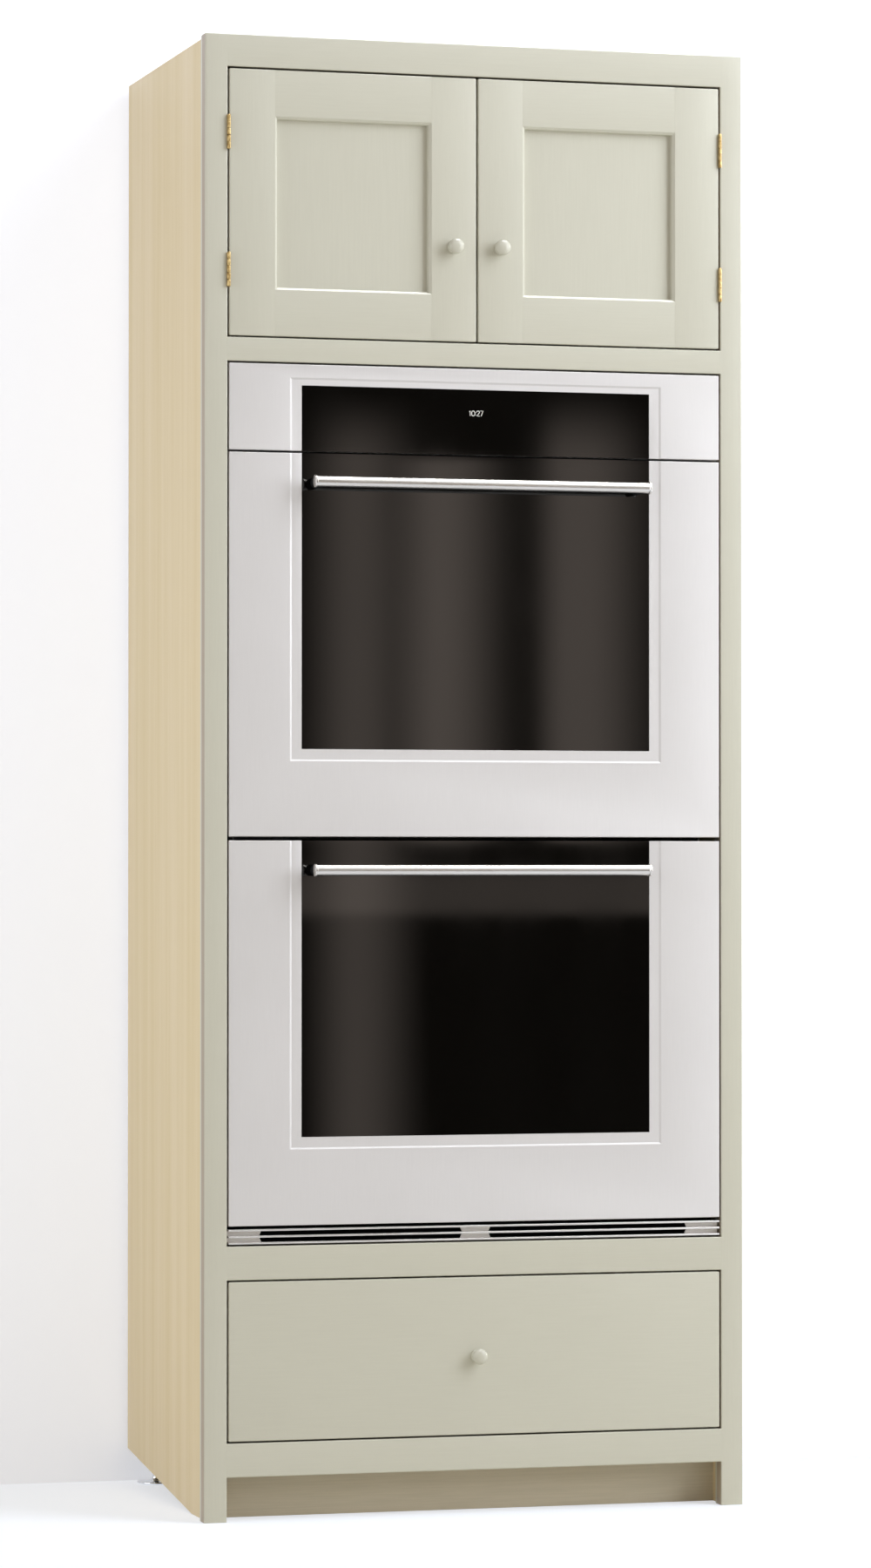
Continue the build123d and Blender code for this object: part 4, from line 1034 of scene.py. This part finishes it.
# Frosted glass over a reflector: a pale, milky mirror, so it is made as a metal.
lamp_glass = bright_metal("lamp_lens", ("#E8E6DC", "#F3F1E8"), (0.08, 0.14), 5.0, 0.05)
lamp_x, lamp_up, lamp_radius, lens_high, lens_share = -215.0, 385.0, 23.0, 7.0, 0.78
ring_steps = ((2.2, 0.80), (3.2, 0.84), (3.2, 0.96), (0.0, 1.0), (0.0, 0.0))
dome = np.linspace(0, 1, 10) * np.pi / 2
along = [*(lens_high * np.cos(dome)), *(height for height, _ in ring_steps)]
radius = [*(lamp_radius * lens_share * np.sin(dome)), *(lamp_radius * share for _, share in ring_steps)]
lamp_grids = []
for level in levels.values():
    start = (lamp_x, cavity_back, level + lamp_up)
    lamp_grids.append(turned(along, radius, start, (0, -1, 0), 40))
piece("oven_lamp_lenses", lamp_grids, lamp_glass, "cabinet")

# ==== Oven doors ====
# A satin steel pressing with a bevelled step round black glass in front, an enamelled inner
# pan with its own pane behind, and a round steel bar handle on two posts.

# Pale and even with a wide soft glow, because the satin grain spreads what it mirrors.
satin_steel = brushed_steel(
    "satin_oven_steel", ("#DAD7D8", "#DDDADB"), (0.48, 0.54), (1.2, 1.2, 45), metallic=0.25
)
edge_roll = 0.8
rolled_copy("control_panel", "rolled_control_panel", satin_steel, "cabinet", edge_roll)
for word in oven_words:
    rolled_copy(f"{word}_door_face", f"rolled_{word}_door_face", satin_steel,
                f"{word}_oven_door", edge_roll)


def enamelled_glass(name, tone, lighter):
    """Toughened glass, enamelled black on its inner face: mirror-smooth, with a faint haze."""
    finish, tree, shader = new_finish(name, {"IOR": 1.5})
    haze = spots(tree, (90, 90, 240))
    vary(tree, shader, haze, (tone, lighter), (0.03, 0.05))
    return finish


# Black that shows the room in it like dark water.
black_glass = enamelled_glass("black_enamelled_glass", "#060504", "#080706")
dress(black_glass, "upper_door_glass", "lower_door_glass", "control_display")

# Plain grey steel with a little shine.
pivot_steel = brushed_steel("pivot_steel", ("#A3A6A8", "#BDC0C2"), (0.35, 0.45), (1.2, 30, 1.2))
dress(pivot_steel, "oven_hinges")

liner_sheet, pan_round, pan_corner, pan_up = 2.0, 7.0, 14.0, 30.0
window_half, window_up, window_corner, window_lip = 225.0, (150.0, 440.0), 16.0, 3.0
ear_thick, ear_half, ear_below, ear_above, pivot_y, pivot_up = 4.0, 7.0, 6.0, 20.0, 11.0, 22.0
pan_arc, window_arc = [*zip(*arris(pan_round))], [*zip(*arris(window_lip))]


def window_station(level, grow, y):
    """Station of a pan's window, grown on all sides."""
    heights = (level + window_up[0], level + window_up[1])
    return drawn_in((-window_half, window_half), heights, -grow, window_corner + grow, y)


for word, level in levels.items():
    low, high = span(f"{word}_door_liner")
    half, front, back = high[0], low[1], high[1]
    pan, inner_corner = ((-half, half), (level + pan_up, high[2])), pan_corner - liner_sheet
    stations = [drawn_in(*pan, 0, pan_corner, front)]
    stations += [drawn_in(*pan, rise, pan_corner, back - draw) for rise, draw in pan_arc]
    stations += [window_station(level, draw, back - rise) for rise, draw in window_arc]
    stations += [window_station(level, liner_sheet, back - window_lip)]
    stations += [window_station(level, liner_sheet + 1, back - liner_sheet)]
    stations += [drawn_in(*pan, pan_round + 0.5, pan_corner - 4, back - liner_sheet)]
    stations += [drawn_in(*pan, liner_sheet, inner_corner, back - pan_round)]
    stations += [drawn_in(*pan, liner_sheet, inner_corner, front), stations[0]]
    pan_grids = [lofted(stations, 8)]
    for side in (-1, 1):
        x = sorted((side * half, side * (half - ear_thick)))
        ear_low = (x[0], pivot_y - ear_half, level + pivot_up - ear_below)
        ear_high = (x[1], pivot_y + ear_half, level + pan_up + ear_above)
        pan_grids.append(eased_block(ear_low, ear_high, 0.6, 5.5, 0))
    piece(f"pressed_{word}_door_liner", pan_grids, dark_enamel,
          f"{word}_oven_door", [f"{word}_door_liner"])

# ==== Handles ====
# A bright steel bar drawn along its length, with a wider cap turned at each end, held off the
# glass by two black posts.

# Bright, with highlights drawn out along the bar.
handle_steel = brushed_steel(
    "drawn_handle_steel", ("#CBC7C1", "#D6D2CD"), (0.24, 0.32), (90, 1.6, 1.6)
)
# Nearly as dark as the glass, but dull.
post_black = matt_black("matt_black_post", "#0B0B0C", "#121213", 0.2, 0.12)
bar_radius, cap_radius, cap_length, cap_ease, post_radius, post_x = 8.0, 9.2, 3.0, 0.7, 8.4, 247.0
cap_break, neck_in, neck_long, glass_y = 0.3, 0.4, 0.6, 1.5
for word in oven_words:
    low, high = span(f"{word}_door_handle")
    bar_y, bar_z = low[1] + cap_radius, (low[2] + high[2]) / 2
    length = high[0] - low[0]
    lift, inset = arris(cap_ease)
    cap_along = [0, *lift, cap_length - cap_break, cap_length, cap_length + neck_long]
    cap_out = [0, *(cap_radius - inset), cap_radius, cap_radius - neck_in, bar_radius]
    along = np.array([*cap_along, *(length - np.array(cap_along[::-1]))])
    bar = turned(along, [*cap_out, *cap_out[::-1]], (low[0], bar_y, bar_z), (1, 0, 0), 72)
    piece(f"drawn_{word}_handle_bar", [bar], handle_steel, f"{word}_oven_door",
          [f"{word}_door_handle"])
    posts = []
    for side in (-1, 1):
        along = [0, 0, glass_y - bar_y, glass_y - bar_y]
        radius = [0, post_radius, post_radius, 0]
        posts.append(turned(along, radius, (side * post_x, glass_y, bar_z), (0, -1, 0), 36))
    piece(f"{word}_handle_posts", posts, post_black, f"{word}_oven_door")

# ==== Clock ====
# Plain digits lit behind the touch glass of the control panel.

# Cool white with a faint glow, no brighter than print.
lit_digits, digit_tree, digit_shader = new_finish(
    "lit_digits", {"Emission Strength": 0.6, "Roughness": 0.4, "Base Color": linear("#E9E9E6")}
)
glow = spots(digit_tree, (3, 3, 3))
glow_tones = {"Fac": glow, "Color1": linear("#E4E4E0"), "Color2": linear("#FFFFFF")}
glow_colour = add_node(digit_tree, "MixRGB", glow_tones)
digit_tree.links.new(glow_colour.outputs["Color"], digit_shader.inputs["Emission Color"])
digit_height, stroke, clock_z, clock_x = 7.6, 0.36, 1628.0, -1.5
clock_middle, digit_proud = 1.42, 0.15
round_turn = np.linspace(0, 2 * np.pi, 41)
arc = np.linspace(np.pi, -np.pi * 0.22, 16)
hook = np.column_stack((0.27 + 0.27 * np.cos(arc), 0.74 + 0.26 * np.sin(arc)))
dot = np.array([(0.0, 0.0), (0.0, 0.1)])
digit_lines = [
    (0.0, [np.array([(0.0, 0.78), (0.22, 1.0), (0.22, 0.0)])]),
    (0.50, [np.column_stack((0.34 + 0.34 * np.sin(round_turn), 0.5 + 0.5 * np.cos(round_turn)))]),
    (1.36, [dot + (0, 0.12), dot + (0, 0.62)]),
    (1.56, [np.vstack((hook, [(0.0, 0.0), (0.58, 0.0)]))]),
    (2.28, [np.array([(0.0, 1.0), (0.56, 1.0), (0.16, 0.0)])]),
]
digit_grids = []
for offset, lines in digit_lines:
    for line in lines:
        x = clock_x + (line[:, 0] + offset - clock_middle) * digit_height
        z = clock_z + (line[:, 1] - 0.5) * digit_height
        path = np.column_stack((x, np.full(len(x), glass_y - digit_proud), z))
        digit_grids.append(tube(path, stroke, (0, 1, 0), 8))
piece("clock_digits", digit_grids, lit_digits, "cabinet")

# ==== Vent grille ====
# Three bright steel fins across the bottom of the oven, in front of a grey plate with a pair of
# slots in each row, and behind it a near-black sheet: painted shade, standing for the unlit duct
# seen through the slots.

vent_low, vent_high = span("vent_grille")
fin, fin_ease, plate_front, plate_back = 2.7, 0.7, 11.5, 13.5
slot_x, slant, vent_half = (20.3, 329.8), 3.0, vent_high[0]
row_pitch = (vent_high[2] - vent_low[2] - fin) / 2
fin_grids, plate_grids = [], []
for index in range(3):
    fin_z = vent_low[2] + index * row_pitch
    corners = ((-vent_half, 0, fin_z), (vent_half, plate_front, fin_z + fin))
    fin_grids.append(eased_block(*corners, fin_ease, fin_ease, 0))
for row in range(2):
    upper = vent_high[2] - fin if row else vent_low[2] + fin
    inner = vent_low[2] + row_pitch + (fin if row else 0)
    for left, right in (
        ((-vent_half, -vent_half), (-slot_x[1] + slant, -slot_x[1])),
        ((-slot_x[0] - slant, -slot_x[0]), (slot_x[0] + slant, slot_x[0])),
        ((slot_x[1] - slant, slot_x[1]), (vent_half, vent_half)),
    ):
        outline = [(left[0], upper), (right[0], upper), (right[1], inner), (left[1], inner)]
        plate_grids.append(flat_tile(outline, plate_front, plate_back, 1))
# Bright fins over a dull pale plate, and behind them a black that throws nothing back: painted
# shade.
brushed = (60, 1.4, 1.4)
vent_steel = brushed_steel("bright_vent_steel", ("#D4D1CE", "#E7E4E2"), (0.26, 0.34), brushed, 0.6)
vent_grey = brushed_steel("grey_vent_plate", ("#F0EBE7", "#F8F4F0"), (0.45, 0.55), brushed, 0.1)
duct_shade_black = matt_black("painted_duct_shade", "#020202", "#040404", 0.25, 0.05)
piece("vent_fins", fin_grids, vent_steel, "cabinet", ["vent_grille"])
piece("vent_slotted_plate", plate_grids, vent_grey, "cabinet")
# A near-black sheet behind the slots: painted shade for the inside of the duct.
shade_sheet_y, shade_sheet_in = (30.0, 31.5), 2.0
shade_sheet_low = (-vent_half + shade_sheet_in, shade_sheet_y[0], vent_low[2] - 1)
shade_sheet_high = (vent_half - shade_sheet_in, shade_sheet_y[1], vent_high[2] + 3)
shade_sheet = eased_block(shade_sheet_low, shade_sheet_high, 0.5)
piece("vent_shade_sheet", [shade_sheet], duct_shade_black, "cabinet")

# ==== Studio ====
# A white floor and back wall that camera rays see as nearly white, soft light from the upper
# right, and dark card with pale strips that only reflections see.

scene = bpy.context.scene
scene.view_settings.view_transform = "Standard"


def stage_sheet(name, corners, finish, seen_by):
    """A flat sheet of the studio, seen only by the kinds of ray that are named."""
    mesh = bpy.data.meshes.new(name)
    mesh.from_pydata(corners, [], [(0, 1, 2, 3)])
    mesh.uv_layers.new(name="across").data.foreach_set("uv", [0, 0, 1, 0, 1, 1, 0, 1])
    mesh.materials.append(finish)
    made = bpy.data.objects.new(name, mesh)
    scene.collection.objects.link(made)
    for ray in ("camera", "diffuse", "glossy", "transmission", "volume_scatter", "shadow"):
        setattr(made, "visible_" + ray, ray in seen_by)
    made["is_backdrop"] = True


def upright_corners(x, y, z):
    """Corners of an upright sheet that faces the front, from its spans in x and z."""
    return [(x[0], y, z[0]), (x[1], y, z[0]), (x[1], y, z[1]), (x[0], y, z[1])]


def empty_material(name):
    """A material with no nodes yet, for what is no ordinary surface."""
    finish = bpy.data.materials.new(name)
    finish.use_nodes = True
    finish.node_tree.nodes.clear()
    return finish, finish.node_tree


def seen_directly(tree):
    """One for camera, glossy and transmission rays, and nought for the rest."""
    rays = add_node(tree, "LightPath")
    looks = rays.outputs["Is Camera Ray"]
    for other in ("Is Glossy Ray", "Is Transmission Ray"):
        looks = worked_out(tree, "MAXIMUM", looks, rays.outputs[other])
    return looks


def backdrop_white(name, glow, white, bounce, cast, rise, along, between):
    """Matt white: rays that look at it see its white and a glow, and the rest see its bounce.
    The glow has a cast, and gains the rise between two distances in metres from the origin,
    measured along the axes that are one in along. It is clear from behind."""
    finish, tree = empty_material(name)
    looked_at = seen_directly(tree)
    tones = {"Fac": looked_at, "Color1": linear(bounce), "Color2": linear(white)}
    matt = add_node(tree, "BsdfDiffuse", {"Color": add_node(tree, "MixRGB", tones).outputs["Color"]})
    place = add_node(tree, "TexCoord")
    kept = add_node(tree, "Mapping", {"Vector": place.outputs["Object"], "Scale": along})
    away = add_node(tree, "VectorMath", {0: kept.outputs["Vector"]}, operation="LENGTH")
    ends = {"From Min": between[0], "From Max": between[1], "To Min": glow, "To Max": glow + rise}
    risen = add_node(tree, "MapRange", {"Value": away.outputs["Value"], **ends}).outputs["Result"]
    strength = worked_out(tree, "MULTIPLY", looked_at, risen)
    lift = add_node(tree, "Emission", {"Color": linear(cast), "Strength": strength})
    lit = add_node(tree, "AddShader", {0: matt.outputs["BSDF"], 1: lift.outputs["Emission"]})
    side = add_node(tree, "NewGeometry")
    clear = add_node(tree, "BsdfTransparent")
    faced = {0: side.outputs["Backfacing"], 1: lit.outputs["Shader"], 2: clear.outputs["BSDF"]}
    mixed = add_node(tree, "MixShader", faced)
    add_node(tree, "OutputMaterial", {"Surface": mixed.outputs["Shader"]})
    return finish


far, wall_at, floor_at = 40.0, 0.31, -0.0003
floor_corners = [(-far, -far, floor_at), (far, -far, floor_at), (far, far, floor_at), (-far, far, floor_at)]
wall_corners = upright_corners((-far, far), wall_at, (floor_at, far))
# The floor's glow grows away from the unit and the wall's towards its top: painted light, brighter far out
# and higher up.
floor_white = backdrop_white("floor_white", 0.56, "#C7CBD2", "#E4E1D3", "#F6F9FF",
                             0.37, (1, 1, 0), (1.8, 6.0))
wall_white = backdrop_white("wall_white", 0.415, "#E9EDF7", "#E8E8E8", "#EDF0FB",
                            0.195, (0, 0, 1), (0.2, 2.3))
stage_sheet("studio_floor", floor_corners, floor_white, ("camera", "diffuse", "glossy", "transmission"))
stage_sheet("studio_wall", wall_corners, wall_white, ("camera", "glossy", "transmission"))


def reflector(name, x, y, z, tone, strength, soft, hides=False):
    """A card that only reflections see: it glows, and fades out over soft shares of its edges.

    It adds to what lies behind it, unless it hides that."""
    finish, tree = empty_material(name)
    place = add_node(tree, "UVMap", uv_map="across")
    across = add_node(tree, "SeparateXYZ", {"Vector": place.outputs["UV"]}).outputs
    shown = strength if not hides else 1.0
    for axis, (low_edge, high_edge) in zip("XY", soft):
        for start, end in ((0.0, low_edge), (1.0, 1.0 - high_edge)):
            ends = {"Value": across[axis], "From Min": start, "From Max": end}
            faded = add_node(tree, "MapRange", ends, interpolation_type="SMOOTHSTEP")
            shown = worked_out(tree, "MULTIPLY", shown, faded.outputs["Result"])
    clear = add_node(tree, "BsdfTransparent")
    if hides:
        glowing = add_node(tree, "Emission", {"Color": linear(tone), "Strength": strength})
        layers = {0: shown, 1: clear.outputs["BSDF"], 2: glowing.outputs["Emission"]}
        mixed = add_node(tree, "MixShader", layers)
    else:
        glowing = add_node(tree, "Emission", {"Color": linear(tone), "Strength": shown})
        mixed = add_node(tree, "AddShader", {0: clear.outputs["BSDF"], 1: glowing.outputs["Emission"]})
    add_node(tree, "OutputMaterial", {"Surface": mixed.outputs["Shader"]})
    stage_sheet(name, upright_corners(x, y, z), finish, ("glossy",))


card_y = face_y - 3.0
warm = "#FFEDE0"
reflector("dark_card", (-0.9, 2.7), card_y - 0.03, (-0.6, 3.1), "#FFF3E2", 0.04,
          ((0.3, 0.3), (0.15, 0.3)), hides=True)
for name, x, back, z, strength, soft in (
    ("long_strip", (0.5, 0.79), 0.0, (-0.4, 1.95), 1.0, ((0.44, 0.56), (0.1, 0.07))),
    ("middle_strip", (0.685, 0.98), 0.01, (1.0, 1.81), 1.42, ((0.4, 0.6), (0.02, 0.015))),
    ("right_strip", (0.99, 1.29), 0.02, (1.0, 1.96), 1.24, ((0.3, 0.58), (0.02, 0.17))),
    ("wide_haze", (0.45, 1.35), 0.03, (1.0, 1.81), 0.13, ((0.1, 0.1), (0.02, 0.015))),
    ("low_strip", (0.45, 1.4), 0.04, (0.845, 0.965), 0.7, ((0.05, 0.05), (0.25, 0.25))),
):
    reflector(name, x, card_y + back, z, warm, strength, soft)

# Two bright cards, overhead and far to the right, that only show as lines on rounded edges.
overhead = [(0.1, 0.5, 4.6), (0.1, -0.7, 4.6), (1.9, -0.7, 4.6), (1.9, 0.5, 4.6)]
beside = [(4.2, 2.2, 0.2), (4.2, -0.3, 0.2), (4.2, -0.3, 3.2), (4.2, 2.2, 3.2)]
for name, corners, strength in (("overhead_card", overhead, 38.0), ("right_card", beside, 22.0)):
    edge_light, tree = empty_material(name)
    glowing = add_node(tree, "Emission", {"Color": linear("#FFFFFF"), "Strength": strength})
    add_node(tree, "OutputMaterial", {"Surface": glowing.outputs["Emission"]})
    stage_sheet(name, corners, edge_light, ("glossy",))


def softbox(name, place, aim, size, power, tone="#FFFFFF"):
    """A square soft lamp that faces its aim."""
    lamp = bpy.data.lights.new(name, "AREA")
    lamp.size = size
    lamp.energy = power
    lamp.color = linear(tone)[:3]
    made = bpy.data.objects.new(name, lamp)
    made.location = place
    direction = Vector(aim) - Vector(place)
    made.rotation_euler = direction.to_track_quat("-Z", "Y").to_euler()
    scene.collection.objects.link(made)


middle_height, lamp_white = 1.2, "#F3F9FF"
softbox("far_key", (3.6, -3.0, 2.6), (0.0, face_y, middle_height), 3.0, 126.0, lamp_white)
softbox("high_key", (2.0, -1.7, 3.8), (0.1, face_y, 1.5), 2.2, 54.0, lamp_white)
softbox("side_fill", (-3.2, -0.6, 1.6), (-0.4, 0.1, 1.1), 1.8, 33.5, lamp_white)

world = bpy.data.worlds.new("studio_air")
world.use_nodes = True
scene.world = world
world.node_tree.nodes.clear()
air = add_node(world.node_tree, "Background", {"Color": linear("#FFF4E6"), "Strength": 0.38})
shown_air = add_node(world.node_tree, "Background", {"Color": linear("#FFFFFF"), "Strength": 1.0})
shown = {0: seen_directly(world.node_tree)}
shown |= {1: air.outputs["Background"], 2: shown_air.outputs["Background"]}
both_airs = add_node(world.node_tree, "MixShader", shown)
add_node(world.node_tree, "OutputWorld", {"Surface": both_airs.outputs["Shader"]})

camera_data = bpy.data.cameras.new("studio_camera")
camera_data.sensor_fit = "AUTO"
camera_data.sensor_width = 36.0
camera_data.lens = 120.57
camera_data.clip_end = 60.0
camera = bpy.data.objects.new("studio_camera", camera_data)
camera.location = (-2.2073, -7.7074, 0.9509)
camera.rotation_euler = (radians(90.94), 0.0, radians(-16.033))
scene.collection.objects.link(camera)
scene.camera = camera

low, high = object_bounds()
